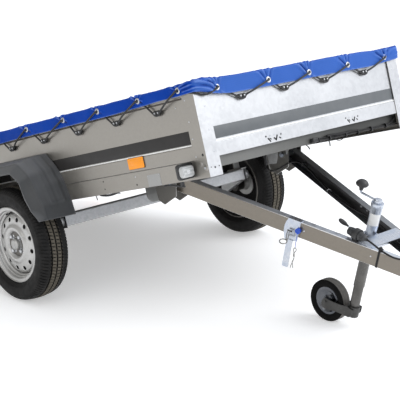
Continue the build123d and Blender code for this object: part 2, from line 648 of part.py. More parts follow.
with BuildPart(BED_XY) as side_reflectors:
    for _, s in SIDES:
        with Locations((858, s * (hw - POST_T + 3), 262)):
            Box(96, 6, 40)
side_reflectors.part.label = "side_reflectors"
export_step(side_reflectors.part, "parts/side_reflectors.step")

with BuildPart(BED_XY) as lamp_board:
    with Locations((BED_REAR + 6 - 3, 0, 128)):
        Box(6, 1240, 52)
lamp_board.part.label = "lamp_board"
export_step(lamp_board.part, "parts/lamp_board.step")

with BuildPart(BED_XY) as rear_lamps:
    for _, s in SIDES:
        with Locations((BED_REAR - 20, s * 520, 130)):
            Box(40, 190, 90)
rear_lamps.part.label = "rear_lamps"
export_step(rear_lamps.part, "parts/rear_lamps.step")

# ---- fittings on the drawbar ------------------------------------------------
RIGHT_BEAM = BAR * Location((0, -BEAM_Y0, 0), (0, 0, BEAM_SPLAY))   # x along the beam, y inward
LEFT_BEAM = BAR * Location((0, BEAM_Y0, 0), (0, 0, -BEAM_SPLAY))    # x along the beam, y outward
ALONG = 1 / cos(radians(BEAM_SPLAY))

# closing latch: hooked plate over the top flange, against the web's outer face
with BuildPart() as latch:
    with BuildSketch(Plane(RIGHT_BEAM * Plane.XZ.location)):
        with BuildLine():
            Polyline((612, -66), (655, -52), (657, 38.8), (600, 38.8))
            ThreePointArc((600, 38.8), (587, 2), (594, -50))
            ThreePointArc((594, -50), (600, -62), (612, -66))
        make_face()
    extrude(amount=4)
    with BuildSketch(Plane(RIGHT_BEAM * Plane.XY.offset(BEAM_H / 2).location)):
        with Locations((628.5, 10)):
            Rectangle(57, 28)
    extrude(amount=4)
latch.part.label = "closing_latch"
export_step(latch.part, "parts/closing_latch.step")

with BuildPart() as latch_cap:
    with BuildSketch(Plane(RIGHT_BEAM * Plane.XZ.offset(4).location)):
        with Locations((654, -1)):
            Circle(12)
    extrude(amount=12)
latch_cap.part.label = "latch_cap"
export_step(latch_cap.part, "parts/latch_cap.step")

# flat strap that hangs from the latch, with a ring through its top
with BuildPart() as latch_strap:
    with BuildSketch(Plane(RIGHT_BEAM * Plane.XZ.offset(4).location)):
        with Locations((623, -119)):
            RectangleRounded(28, 130, 3)
    extrude(amount=4)
latch_strap.part.label = "latch_strap"
export_step(latch_strap.part, "parts/latch_strap.step")

# retaining clip on a short lanyard
LANYARD_D = 2.5
LANYARD = [(654, -14, -13.1), (655.5, -14, -35), (654.5, -14, -57), (656.5, -14, -77.8)]
with BuildPart() as clip:
    with BuildSketch(Plane(RIGHT_BEAM * Plane.XZ.offset(12).location)):
        with Locations((658, -126)):
            RectangleRounded(14, 96, 5)
    extrude(amount=4)
clip.part.label = "latch_clip"
export_step(clip.part, "parts/latch_clip.step")


def cord_tube(frame, points, diameter, name):
    """Straight runs joined by tangent arcs as large as the runs allow."""
    pts = [(frame * Location(q)).position for q in points]
    radii = []
    for a, b, c in zip(pts, pts[1:], pts[2:]):
        turn = radians((b - a).get_angle(c - b))
        radii.append(0.45 * min((b - a).length, (c - b).length) / tan(turn / 2))
    with BuildPart() as tube:
        with BuildLine():
            line = FilletPolyline(*pts, radius=radii)
        with BuildSketch(Plane(origin=line @ 0, z_dir=line % 0)):
            Circle(diameter / 2)
        sweep()
    print(name, "length", round(line.length), "volume ratio",
          round(tube.part.volume / (line.length * 3.14159265 * diameter ** 2 / 4), 4),
          "radii", [round(r) for r in radii])
    tube.part.label = name
    export_step(tube.part, f"parts/{name}.step")
    return tube


cord_tube(RIGHT_BEAM, LANYARD, LANYARD_D, "latch_lanyard")

# parked plug in its holder on the right beam's top flange
PLUG_Y, PLUG_W = -122.0, 62.0
with BuildPart() as holder:
    with BuildSketch(Plane(BAR * Plane.YZ.offset(842).location)):
        with BuildLine():
            Polyline((PLUG_Y - 14, BEAM_H / 2), (PLUG_Y + 14, BEAM_H / 2), (PLUG_Y + 14, PLUG_W - 12), (PLUG_Y - 14, PLUG_W - 12), close=True)
        make_face()
        with Locations((PLUG_Y, PLUG_W)):
            Circle(26)
            Circle(22.2, mode=Mode.SUBTRACT)
    extrude(amount=24)
holder.part.label = "plug_holder"
export_step(holder.part, "parts/plug_holder.step")

plug_plane = Plane(BAR * Plane.XY.offset(PLUG_W).location)
plug_plane = Plane(origin=(BAR * Location((0, PLUG_Y, PLUG_W))).position, x_dir=BAR_XY.x_dir, z_dir=BAR_XY.z_dir)
with BuildPart() as plug:
    with BuildSketch(plug_plane):
        with BuildLine():
            Polyline((792, 0), (792, 17), (798, 19.5), (836, 20.5), (842, 22), (868, 22), (872, 19), (886, 15), (890, 9), (906, 7), (906, 0), close=True)
        make_face()
    revolve(axis=Axis(plug_plane.origin, BAR_XY.x_dir))
plug.part.label = "trailer_plug"
export_step(plug.part, "parts/trailer_plug.step")

# lead: in the left beam's channel from its gland forward, across the nose of the
# drawbar, and back along the right beam's top flange into the plug
LEAD_D = 8.0
LEAD_CHANNEL = [(177.2, -28.7, 1), (232, -30, 2.5), (300, -30, -10), (363, -30.5, -17), (430, -31, -25.3), (500, -31, -25.8), (592, -30.5, -18.5),
                (650, -30, -11), (700, -29, -2), (760, -27, 5), (830, -25, 3.5), (890, -27, 2), (935, -30, 4)]
LEAD_NOSE = [(968, 62, 14), (1028, 42, 34), (1078, 4, 45), (1092, -50, 46), (1078, -98, 46), (1037, -115, 43), (1003, -108, 39.8),
             (969, -107.5, 41), (938, -118, 56), (907.2, -122, 62)]
lead_route = [BAR.inverse() * (LEFT_BEAM * Location(q)) for q in LEAD_CHANNEL]
lead_route = [tuple(q.position) for q in lead_route] + LEAD_NOSE
print("lead route in the drawbar frame", [tuple(round(c, 1) for c in q) for q in lead_route])
cord_tube(BAR, lead_route, LEAD_D, "drawbar_cable")

# free loop of the lead between the bed and the drawbar's channel, beside the left pivot
LOOP_D = 7.0
LOOP_START = (769.8, 300.0, 184.0)     # bed frame
loop_near = (BED.inverse() * (LEFT_BEAM * Location((137, -32.5, 1.2)))).position
loop_end = (BED.inverse() * (LEFT_BEAM * Location((164, -28.7, 1)))).position
LOOP = [LOOP_START, (736, 300, 184.5), (703, 300, 178), (672, 300, 158), (654, 301, 127), (656, 301, 95), (682, 301, 75), (719, 301, 74),
        (757, 301, 83), (790, 303, 95), (820, 313, 101), tuple(loop_near), tuple(loop_end)]
print("loop in the bed frame", [tuple(round(c, 1) for c in q) for q in LOOP])
cord_tube(BED, LOOP, LOOP_D, "bed_cable")

# glands and clips that hold the lead
with BuildPart() as bed_clip:
    with BuildSketch(side_plane(BED, 309)):
        with BuildLine():
            Polyline((770, 176), (788, 176), (788, 213), (796, 213), (796, 218), (770, 218), close=True)
        make_face()
    extrude(amount=18)
bed_clip.part.label = "bed_cable_gland"
export_step(bed_clip.part, "parts/bed_cable_gland.step")

with BuildPart() as lead_clips:
    # gland block on the web's inner face
    with BuildSketch(Plane(LEFT_BEAM * Plane.XY.offset(-8).location)):
        with Locations((171, -19)):
            Rectangle(12, 30)
    extrude(amount=19)
lead_clips.part.label = "drawbar_cable_gland"
export_step(lead_clips.part, "parts/drawbar_cable_gland.step")

# strap that ties the lead to the right beam
with BuildPart() as strap:
    with BuildSketch(Plane(RIGHT_BEAM * Plane.YZ.offset(968 * ALONG).location)):
        h = BEAM_H / 2
        with BuildLine():
            Polyline((-1.6, -h - 1.6), (-1.6, h + 15.2), (16, h + 15.2), (BEAM_B + 1.6, h + 1.6), (BEAM_B + 1.6, -h - 1.6), close=True)
        make_face()
        with BuildLine():
            Polyline((0, -h), (0, h + 13.8), (15.2, h + 13.8), (BEAM_B, h), (BEAM_B, -h), close=True)
        make_face(mode=Mode.SUBTRACT)
    extrude(amount=7)
strap.part.label = "cable_strap"
export_step(strap.part, "parts/cable_strap.step")
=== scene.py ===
import json
import math
import bpy
import bmesh
import numpy as np
from mathutils import Matrix, Vector
from mathutils import noise as mn

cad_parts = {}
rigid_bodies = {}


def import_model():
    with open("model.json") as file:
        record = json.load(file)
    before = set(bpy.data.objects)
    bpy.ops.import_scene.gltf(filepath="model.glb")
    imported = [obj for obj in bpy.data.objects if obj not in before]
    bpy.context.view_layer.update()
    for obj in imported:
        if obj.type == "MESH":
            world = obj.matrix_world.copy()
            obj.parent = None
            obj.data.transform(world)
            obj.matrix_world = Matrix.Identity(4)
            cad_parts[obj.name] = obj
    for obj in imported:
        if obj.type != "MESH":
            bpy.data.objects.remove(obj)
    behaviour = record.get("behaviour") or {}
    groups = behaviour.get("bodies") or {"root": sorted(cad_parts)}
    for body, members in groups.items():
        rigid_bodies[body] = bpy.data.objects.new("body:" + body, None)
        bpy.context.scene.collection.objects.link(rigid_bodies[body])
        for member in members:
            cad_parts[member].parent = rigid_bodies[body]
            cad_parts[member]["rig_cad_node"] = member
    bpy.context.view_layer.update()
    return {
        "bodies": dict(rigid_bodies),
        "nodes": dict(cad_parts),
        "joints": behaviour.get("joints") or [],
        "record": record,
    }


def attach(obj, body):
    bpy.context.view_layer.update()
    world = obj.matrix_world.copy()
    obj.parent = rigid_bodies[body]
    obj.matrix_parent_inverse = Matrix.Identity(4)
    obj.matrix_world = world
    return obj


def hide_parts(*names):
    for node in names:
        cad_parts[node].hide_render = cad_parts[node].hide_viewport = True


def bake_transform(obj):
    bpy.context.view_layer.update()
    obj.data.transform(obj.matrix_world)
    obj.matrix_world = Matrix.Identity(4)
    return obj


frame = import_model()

nodes = frame["nodes"]

# ---- frames of the CAD, in metres ------------------------------------------
A_BED, A_BAR, A_BEAM = math.radians(15.18), math.radians(29.28), math.radians(16.29)
BED = Matrix.Translation((-0.4431, 0, 0.2735)) @ Matrix.Rotation(-A_BED, 4, "Y")
BAR = BED @ Matrix.Translation((0.746, 0, 0.155)) @ Matrix.Rotation(A_BAR, 4, "Y")
LEFT = BAR @ Matrix.Translation((0, 0.3987, 0)) @ Matrix.Rotation(-A_BEAM, 4, "Z")
RIGHT = BAR @ Matrix.Translation((0, -0.3987, 0)) @ Matrix.Rotation(A_BEAM, 4, "Z")
ROW = Matrix.Identity(4)


def V(*a):
    return Vector(a)


def mm(points):
    return [tuple(c / 1000.0 for c in p) for p in points]


def smooth(t):
    t = min(1.0, max(0.0, t))
    return t * t * (3 - 2 * t)


# ---- materials ---------------------------------------------------------------
class Mat:
    """A procedural Principled material, in object coordinates (metres)."""

    def __init__(self, name, rough=0.5, metallic=0.0, **sockets):
        self.m = bpy.data.materials.new(name)
        self.m.use_nodes = True
        self.nt = self.m.node_tree
        self.nt.nodes.clear()
        self.out = self.node("ShaderNodeOutputMaterial")
        self.p = self.node("ShaderNodeBsdfPrincipled")
        self.link(self.p.outputs["BSDF"], self.out.inputs["Surface"])
        self.p.inputs["Roughness"].default_value = rough
        self.p.inputs["Metallic"].default_value = metallic
        for k, v in sockets.items():
            self.p.inputs[k.replace("_", " ")].default_value = v
        self.tc = self.node("ShaderNodeTexCoord")
        self.co = self.tc.outputs["Object"]

    def node(self, kind, **attrs):
        n = self.nt.nodes.new(kind)
        for k, v in attrs.items():
            setattr(n, k, v)
        return n

    def link(self, a, b):
        self.nt.links.new(a, b)
        return a

    def scaled(self, sx, sy, sz):
        n = self.node("ShaderNodeMapping")
        n.inputs["Scale"].default_value = (sx, sy, sz)
        self.link(self.co, n.inputs["Vector"])
        return n.outputs["Vector"]

    def noise(self, scale, detail=3.0, rough=0.5, co=None, distortion=0.0):
        n = self.node("ShaderNodeTexNoise")
        n.inputs["Scale"].default_value = scale
        n.inputs["Detail"].default_value = detail
        n.inputs["Roughness"].default_value = rough
        n.inputs["Distortion"].default_value = distortion
        self.link(co or self.co, n.inputs["Vector"])
        return n.outputs["Fac"]

    def voronoi(self, scale, co=None, feature="F1", out="Distance"):
        n = self.node("ShaderNodeTexVoronoi", feature=feature)
        n.inputs["Scale"].default_value = scale
        self.link(co or self.co, n.inputs["Vector"])
        return n.outputs[out]

    def remap(self, fac, a, b, lo=0.0, hi=1.0):
        n = self.node("ShaderNodeMapRange")
        for k, v in (("From Min", a), ("From Max", b), ("To Min", lo), ("To Max", hi)):
            n.inputs[k].default_value = v
        self.link(fac, n.inputs["Value"])
        return n.outputs["Result"]

    def mix(self, fac, a, b, blend="MIX"):
        n = self.node("ShaderNodeMix", data_type="RGBA", blend_type=blend)
        for sock, val in ((n.inputs[0], fac), (n.inputs[6], a), (n.inputs[7], b)):
            if hasattr(val, "is_output"):
                self.link(val, sock)
            elif sock == n.inputs[0]:
                sock.default_value = val
            else:
                sock.default_value = (*val, 1.0)
        return n.outputs[2]

    def math(self, op, a, b=0.0):
        n = self.node("ShaderNodeMath", operation=op)
        for sock, val in zip(n.inputs, (a, b)):
            if hasattr(val, "is_output"):
                self.link(val, sock)
            else:
                sock.default_value = val
        return n.outputs[0]

    def colour(self, c):
        if hasattr(c, "is_output"):
            self.link(c, self.p.inputs["Base Color"])
        else:
            self.p.inputs["Base Color"].default_value = (*c, 1.0)
        return self

    def roughness(self, r):
        self.link(r, self.p.inputs["Roughness"])
        return self

    def bump(self, height, strength=0.2, distance=0.001):
        n = self.node("ShaderNodeBump")
        n.inputs["Strength"].default_value = strength
        n.inputs["Distance"].default_value = distance
        self.link(height, n.inputs["Height"])
        self.link(n.outputs["Normal"], self.p.inputs["Normal"])
        return self

    def facing(self, axis=(0, 1, 0)):
        """How much the surface faces along +-axis of the piece, 0 to 1."""
        n = self.node("ShaderNodeVectorMath", operation="DOT_PRODUCT")
        self.link(self.tc.outputs["Normal"], n.inputs[0])
        n.inputs[1].default_value = axis
        return self.math("ABSOLUTE", n.outputs["Value"])


def galvanised(name, front, side, dark=1.0, rough=0.34, spangle=1.0, metallic=0.85, painted_shade_ramp=None, ledge=1.0, edge=None, rim=None):
    """Hot-dip zinc: crystals a centimetre across, cloudy patches, a few dull streaks. Over it, painted light and shade:
    a lighter front colour and a darker side colour by facing, an optional painted shade ramp along y, and optional
    painted highlights on edges and along a rim strip.
    """
    m = Mat(name, rough=rough, metallic=metallic)
    # painted light and shade: faces that face along y take the darker side colour, all others the lighter front colour
    base = m.mix(m.remap(m.facing((0, 1, 0)), 0.55, 0.85), front, side)
    crystal = m.voronoi(85, co=m.scaled(1, 1, 1), out="Color")
    sep = m.node("ShaderNodeSeparateColor")
    m.link(crystal, sep.inputs[0])
    cell = sep.outputs[0]
    cloud = m.noise(5.0, 4, 0.55)
    fine = m.noise(160, 2, 0.5)
    tone = m.math("ADD", m.remap(cell, 0, 1, -0.035 * spangle, 0.035 * spangle), m.remap(cloud, 0.3, 0.7, -0.04, 0.04))
    tone = m.math("ADD", tone, m.remap(fine, 0.3, 0.7, -0.012, 0.012))
    gain = m.math("MULTIPLY", m.math("ADD", tone, 1.0), dark)
    # painted shade: the colour is multiplied down along y, from 1 at the ramp's start to its last factor at its end
    if painted_shade_ramp:
        sep2 = m.node("ShaderNodeSeparateXYZ")
        m.link(m.tc.outputs["Object"], sep2.inputs[0])
        gain = m.math("MULTIPLY", gain, m.remap(m.math("ADD", sep2.outputs[1], m.remap(cloud, 0.3, 0.7, -0.05, 0.05)), painted_shade_ramp[0], painted_shade_ramp[1], 1.0, painted_shade_ramp[2]))
    if ledge < 1.0:
        gain = m.math("MULTIPLY", gain, m.remap(m.facing((0, 0, 1)), 0.38, 0.75, 1.0, ledge))
    g = m.node("ShaderNodeVectorMath", operation="SCALE")
    m.link(base, g.inputs[0])
    m.link(gain, g.inputs["Scale"])
    out = g.outputs["Vector"]
    # painted highlight: a near-white band on the rounded edges between side and top faces
    if edge:
        ny = m.facing((0, 1, 0))
        band = m.math("MULTIPLY", m.remap(ny, 0.22, 0.45), m.remap(ny, 0.78, 0.90, 1.0, 0.0))
        out = m.mix(band, out, edge)
    # painted highlight: a near-white strip on up-facing faces short of a plane, along the beam's top edge
    if rim:
        dot = m.node("ShaderNodeVectorMath", operation="DOT_PRODUCT")
        m.link(m.tc.outputs["Object"], dot.inputs[0])
        dot.inputs[1].default_value = rim[0]
        near = m.remap(dot.outputs["Value"], rim[1] + rim[2] * 0.85, rim[1] + rim[2], 1.0, 0.0)
        out = m.mix(m.math("MULTIPLY", near, m.remap(m.facing((0, 0, 1)), 0.45, 0.7)), out, rim[3])
    m.colour(out)
    r = m.math("ADD", m.remap(cell, 0, 1, -0.05, 0.05), m.remap(cloud, 0.3, 0.7, rough - 0.04, rough + 0.06))
    m.roughness(r)
    m.bump(m.math("ADD", m.noise(40, 3, 0.5), m.math("MULTIPLY", fine, 0.3)), 0.06 if ledge == 1.0 else 0.012, 0.0006)
    return m.m


M = {}
# each galvanised finish: a lighter front colour and a darker side colour, painted light and shade by facing
M["galv"] = galvanised("galvanised_sheet", (0.56, 0.565, 0.575), (0.318, 0.300, 0.272), rough=0.36, ledge=0.72)
# right beam: painted highlights along its top edge (edge band and rim strip) over the painted light and shade
M["galv_beam"] = galvanised("galvanised_beam", (0.55, 0.58, 0.63), (0.218, 0.196, 0.167), rough=0.36, edge=(0.95, 0.95, 0.96), rim=((-0.27205, 0.95985, 0.06833), -0.40471, 0.0065, (0.97, 0.97, 0.98)))
M["galv_bracket"] = galvanised("galvanised_bracket", (0.34, 0.34, 0.33), (0.165, 0.158, 0.145), rough=0.44, spangle=1.6)
M["galv_dip"] = galvanised("galvanised_hot_dip", (0.46, 0.465, 0.475), (0.46, 0.465, 0.465), rough=0.46, spangle=2.6)
# cross rail: a far darker copy of the galvanised colours, painted shade for the recessed rail, with the painted shade
# ramp darker towards +y
M["galv_rail"] = galvanised("galvanised_cross_rail", (0.165, 0.165, 0.157), (0.15, 0.145, 0.137), rough=0.42, painted_shade_ramp=(-0.35, 0.30, 0.42))
# a darker copy of the galvanised colours, painted shade for undersides
M["galv_under"] = galvanised("galvanised_underside_painted_shade", (0.20, 0.20, 0.185), (0.17, 0.165, 0.155), rough=0.42)
# left beam: a much darker copy of the beam's galvanised colours, painted shade
M["beam_painted_shade"] = galvanised("galvanised_beam_dark", (0.25, 0.26, 0.275), (0.085, 0.083, 0.085), rough=0.40)


def zinc(name, c0, c1, rough=0.26):
    """Bright electro-zinc with a faint blue passivation and drip marks."""
    m = Mat(name, rough=rough, metallic=1.0)
    n = m.noise(14, 4, 0.6, distortion=0.6)
    c = m.mix(m.remap(n, 0.35, 0.7), c0, c1)
    c = m.mix(m.remap(m.noise(90, 3, 0.6), 0.62, 0.75, 0.0, 0.35), c, (0.30, 0.30, 0.31))
    m.colour(c)
    m.roughness(m.remap(m.noise(30, 4, 0.6), 0.3, 0.7, rough - 0.06, rough + 0.12))
    m.bump(m.noise(120, 3, 0.5), 0.08, 0.0004)
    return m.m


M["zinc"] = zinc("bright_zinc", (0.56, 0.58, 0.62), (0.42, 0.47, 0.56))
M["zinc_dull"] = zinc("dull_zinc", (0.145, 0.140, 0.133), (0.108, 0.105, 0.100), rough=0.42)
M["zinc_fork"] = zinc("fork_zinc", (0.100, 0.099, 0.096), (0.072, 0.071, 0.069), rough=0.44)
M["jockey_rim"] = zinc("rim_zinc", (0.155, 0.160, 0.172), (0.095, 0.102, 0.116), rough=0.19)
# painted highlight: a near-white colour for the bead on the fold under the stripes
m = Mat("fold_highlight", rough=0.3, metallic=0.35)
m.colour(m.mix(m.remap(m.noise(30, 3, 0.6), 0.3, 0.7), (0.80, 0.80, 0.79), (0.92, 0.92, 0.91)))
M["bead"] = m.m
# painted shadow: a near-black colour for the bead at the upper fold under the cover's hem
m = Mat("fold_shadow", rough=0.6, metallic=0.2)
m.colour(m.mix(m.remap(m.noise(30, 3, 0.6), 0.3, 0.7), (0.070, 0.060, 0.052), (0.10, 0.088, 0.078)))
M["painted_fold_shadow"] = m.m
# painted shade: dark grey for the rim's hub recess and the dish's inward faces
m = Mat("wheel_recess_painted_shade", rough=0.5, metallic=0.55)
m.colour(m.mix(m.remap(m.noise(60, 4, 0.6), 0.3, 0.7), (0.13, 0.122, 0.112), (0.22, 0.21, 0.195)))
m.bump(m.noise(260, 2, 0.5), 0.08, 0.0003)
M["silver_painted_shade"] = m.m
m = Mat("jockey_rubber", rough=0.78, Specular_IOR_Level=0.10)
m.colour(m.mix(m.remap(m.noise(40, 4, 0.6), 0.3, 0.7), (0.0030, 0.0030, 0.0031), (0.0070, 0.0068, 0.0066)))
m.bump(m.noise(420, 2, 0.6), 0.12, 0.0003)
M["jockey_rubber"] = m.m
m = Mat("hub_casting", rough=0.42, metallic=0.8)
sep = m.node("ShaderNodeSeparateXYZ")
m.link(m.tc.outputs["Object"], sep.inputs[0])
n = m.noise(40, 4, 0.6)
c = m.mix(m.remap(n, 0.3, 0.7), (0.40, 0.40, 0.39), (0.46, 0.46, 0.45))
d = m.mix(m.remap(n, 0.3, 0.7), (0.030, 0.028, 0.026), (0.055, 0.052, 0.048))
# painted shade: the hub's part inside the wheel (|y| below about 0.722) is near-black, the outer part light
m.colour(m.mix(m.remap(m.math("ABSOLUTE", sep.outputs[1]), 0.722, 0.736), d, c))
m.bump(n, 0.10, 0.0005)
M["hub"] = m.m
M["steel"] = zinc("fastener_steel", (0.60, 0.61, 0.63), (0.45, 0.46, 0.48), rough=0.3)

m = Mat("wheel_silver", rough=0.36, metallic=0.75, Coat_Weight=0.25, Coat_Roughness=0.22)
c = m.mix(m.remap(m.noise(900, 2, 0.5), 0.35, 0.65), (0.46, 0.456, 0.446), (0.54, 0.535, 0.524))
c = m.mix(m.remap(m.noise(9, 4, 0.6), 0.5, 0.75, 0, 0.35), c, (0.24, 0.235, 0.228))
m.colour(c)
m.bump(m.noise(260, 2, 0.5), 0.05, 0.0003)
M["silver"] = m.m

m = Mat("tyre_rubber", rough=0.66, Specular_IOR_Level=0.18)
c = m.mix(m.remap(m.noise(22, 5, 0.6), 0.35, 0.7), (0.0070, 0.0068, 0.0068), (0.0140, 0.0134, 0.0130))
c = m.mix(m.remap(m.noise(230, 3, 0.6), 0.58, 0.72, 0, 0.4), c, (0.030, 0.026, 0.021))
m.colour(c)
m.roughness(m.remap(m.noise(45, 4, 0.6), 0.3, 0.7, 0.5, 0.72))
m.bump(m.noise(520, 3, 0.6), 0.22, 0.0005)
M["rubber"] = m.m

m = Mat("tread_dusty", rough=0.7, Specular_IOR_Level=0.25)
c = m.mix(m.remap(m.noise(70, 4, 0.6), 0.35, 0.7), (0.080, 0.070, 0.054), (0.125, 0.111, 0.088))
m.colour(c)
m.bump(m.noise(520, 3, 0.6), 0.22, 0.0005)
M["tread"] = m.m

m = Mat("jockey_tread", rough=0.7, Specular_IOR_Level=0.3)
m.colour(m.mix(m.remap(m.noise(60, 4, 0.6), 0.35, 0.7), (0.085, 0.080, 0.074), (0.125, 0.118, 0.108)))
m.bump(m.noise(480, 3, 0.6), 0.25, 0.0005)
M["jockey_tread"] = m.m

# painted shade: near-black for the wheel's inside behind the dish
m = Mat("wheel_well_dark", rough=0.75, Specular_IOR_Level=0.15)
m.colour(m.mix(m.remap(m.noise(30, 4, 0.6), 0.35, 0.7), (0.010, 0.010, 0.010), (0.022, 0.021, 0.020)))
m.bump(m.noise(200, 3, 0.6), 0.2, 0.0005)
M["wheel_well"] = m.m

m = Mat("jockey_rubber", rough=0.7, Specular_IOR_Level=0.35)
m.colour(m.mix(m.remap(m.noise(60, 4, 0.6), 0.35, 0.7), (0.009, 0.009, 0.009), (0.017, 0.0165, 0.016)))
m.bump(m.noise(480, 3, 0.6), 0.25, 0.0005)
M["rubber_plain"] = m.m

m = Mat("mudguard_plastic", rough=0.46, Specular_IOR_Level=0.5)
c = m.mix(m.remap(m.noise(6, 4, 0.6), 0.3, 0.75), (0.024, 0.0255, 0.0275), (0.040, 0.0425, 0.0455))
c = m.mix(m.remap(m.noise(60, 5, 0.7, distortion=1.2), 0.64, 0.74, 0, 0.35), c, (0.085, 0.088, 0.092))
# painted light: faces that face up get a lighter grey
c = m.mix(m.remap(m.facing((0, 0, 1)), 0.45, 0.95, 0, 0.85), c, (0.125, 0.127, 0.130))
# painted highlight: a lighter grey on sharp convex edges, by pointiness
edges = m.node("ShaderNodeNewGeometry")
c = m.mix(m.remap(edges.outputs["Pointiness"], 0.515, 0.565, 0.0, 0.6), c, (0.15, 0.152, 0.156))
m.colour(c)
m.roughness(m.remap(m.noise(18, 4, 0.6), 0.3, 0.7, 0.38, 0.56))
m.bump(m.noise(650, 2, 0.6), 0.28, 0.0004)
M["guard"] = m.m


def plastic(name, c0, c1, rough=0.42, grain=500.0, depth=0.2):
    m = Mat(name, rough=rough)
    m.colour(m.mix(m.remap(m.noise(35, 4, 0.6), 0.35, 0.7), c0, c1))
    m.roughness(m.remap(m.noise(60, 3, 0.6), 0.3, 0.7, rough - 0.07, rough + 0.1))
    m.bump(m.noise(grain, 2, 0.5), depth, 0.0004)
    return m.m


M["black"] = plastic("black_plastic", (0.016, 0.016, 0.017), (0.030, 0.030, 0.031))
M["plug"] = plastic("plug_plastic", (0.020, 0.021, 0.023), (0.040, 0.041, 0.043), rough=0.36)
M["blue_plastic"] = plastic("blue_plastic", (0.005, 0.055, 0.42), (0.010, 0.085, 0.55), rough=0.32, grain=300, depth=0.1)
M["white_plastic"] = plastic("white_plastic", (0.78, 0.78, 0.77), (0.86, 0.86, 0.85), rough=0.38, grain=300, depth=0.1)

m = Mat("cable_jacket", rough=0.50, Specular_IOR_Level=0.25)
m.colour(m.mix(m.remap(m.noise(70, 3, 0.6), 0.35, 0.7), (0.010, 0.010, 0.011), (0.022, 0.021, 0.021)))
m.bump(m.noise(900, 2, 0.5), 0.15, 0.0003)
M["cable"] = m.m

m = Mat("elastic_cord", rough=0.75, Sheen_Weight=0.15, Sheen_Roughness=0.5)
w = m.node("ShaderNodeTexWave", wave_type="BANDS", bands_direction="DIAGONAL")
w.inputs["Scale"].default_value = 150
w.inputs["Distortion"].default_value = 1.5
m.link(m.co, w.inputs["Vector"])
m.colour(m.mix(m.remap(w.outputs["Fac"], 0.2, 0.9), (0.008, 0.008, 0.009), (0.030, 0.030, 0.031)))
m.bump(w.outputs["Fac"], 0.35, 0.0006)
M["elastic"] = m.m

# cover: PVC-coated polyester, with the weave telegraphing through the coating
m = Mat("cover_pvc", rough=0.44, Specular_IOR_Level=0.05)
weave = m.node("ShaderNodeTexWave", wave_type="BANDS", bands_direction="X")
weave.inputs["Scale"].default_value = 130
weave2 = m.node("ShaderNodeTexWave", wave_type="BANDS", bands_direction="Y")
weave2.inputs["Scale"].default_value = 130
weave3 = m.node("ShaderNodeTexWave", wave_type="BANDS", bands_direction="Z")
weave3.inputs["Scale"].default_value = 130
for w in (weave, weave2, weave3):
    m.link(m.co, w.inputs["Vector"])
cloth = m.math("MULTIPLY", m.math("ADD", m.math("ADD", weave.outputs["Fac"], weave2.outputs["Fac"]), weave3.outputs["Fac"]), 0.33)
c = m.mix(m.remap(m.noise(3.2, 4, 0.55), 0.3, 0.7), (0.0008, 0.038, 0.300), (0.0020, 0.052, 0.370))
# painted light: faces that face front (along x) get a lighter copy of the blue
painted_front_light = m.mix(m.remap(m.noise(3.2, 4, 0.55), 0.3, 0.7), (0.034, 0.100, 0.350), (0.044, 0.122, 0.430))
c = m.mix(m.remap(m.facing((1, 0, 0)), 0.35, 0.85), c, painted_front_light)
c = m.mix(m.remap(cloth, 0.3, 0.7, 0, 0.16), c, (0.006, 0.060, 0.42))
c = m.mix(m.remap(m.noise(45, 5, 0.65), 0.6, 0.75, 0, 0.10), c, (0.03, 0.09, 0.32))
geo = m.node("ShaderNodeNewGeometry")
# painted shade in the concave creases and painted highlight on the convex ridges, by pointiness
c = m.mix(m.remap(geo.outputs["Pointiness"], 0.455, 0.492, 0.75, 0.0), c, (0.0004, 0.016, 0.150))
c = m.mix(m.remap(geo.outputs["Pointiness"], 0.512, 0.560, 0.0, 0.55), c, (0.16, 0.26, 0.60))
m.colour(c)
m.roughness(m.remap(m.noise(12, 4, 0.6), 0.3, 0.7, 0.36, 0.50))
m.bump(m.math("ADD", m.math("MULTIPLY", cloth, 0.35), m.noise(34, 5, 0.6)), 0.22, 0.0016)
M["cover"] = m.m

m = Mat("dark_film", rough=0.36, Specular_IOR_Level=0.32)
m.colour(m.mix(m.remap(m.noise(20, 3, 0.6), 0.3, 0.7), (0.022, 0.0205, 0.0198), (0.029, 0.0275, 0.0265)))
m.bump(m.noise(220, 2, 0.5), 0.04, 0.0003)
M["stripe_side"] = m.m
m = Mat("grey_film", rough=0.38, Specular_IOR_Level=0.42)
m.colour(m.mix(m.remap(m.noise(20, 3, 0.6), 0.3, 0.7), (0.094, 0.102, 0.108), (0.110, 0.118, 0.124)))
m.bump(m.noise(220, 2, 0.5), 0.04, 0.0003)
M["stripe_front"] = m.m

m = Mat("plate_aluminium", rough=0.4, metallic=0.7)
br = m.noise(60, 4, 0.6, co=m.scaled(4, 1, 60))
m.colour(m.mix(m.remap(br, 0.3, 0.7), (0.30, 0.30, 0.295), (0.38, 0.38, 0.372)))
m.bump(br, 0.08, 0.0003)
M["plate"] = m.m

m = Mat("sticker_white", rough=0.42)
m.colour(m.mix(m.remap(m.noise(50, 3, 0.6), 0.3, 0.7), (0.78, 0.78, 0.77), (0.84, 0.84, 0.83)))
m.bump(m.noise(120, 2, 0.5), 0.05, 0.0003)
M["sticker"] = m.m


def lens(name, c0, c1, rough=0.16, trans=0.0, pitch=260.0):
    """Moulded lens with rows of small prisms."""
    m = Mat(name, rough=rough, Coat_Weight=0.10, Coat_Roughness=0.10, Transmission_Weight=trans, IOR=1.49)
    w1 = m.node("ShaderNodeTexWave", wave_type="BANDS", bands_direction="X")
    w2 = m.node("ShaderNodeTexWave", wave_type="BANDS", bands_direction="Z")
    for w in (w1, w2):
        w.inputs["Scale"].default_value = pitch / 3.1416
        m.link(m.co, w.inputs["Vector"])
    cell = m.math("MULTIPLY", w1.outputs["Fac"], w2.outputs["Fac"])
    m.colour(m.mix(m.remap(cell, 0.1, 0.8), c0, c1))
    m.bump(cell, 0.35, 0.0012)
    return m.m


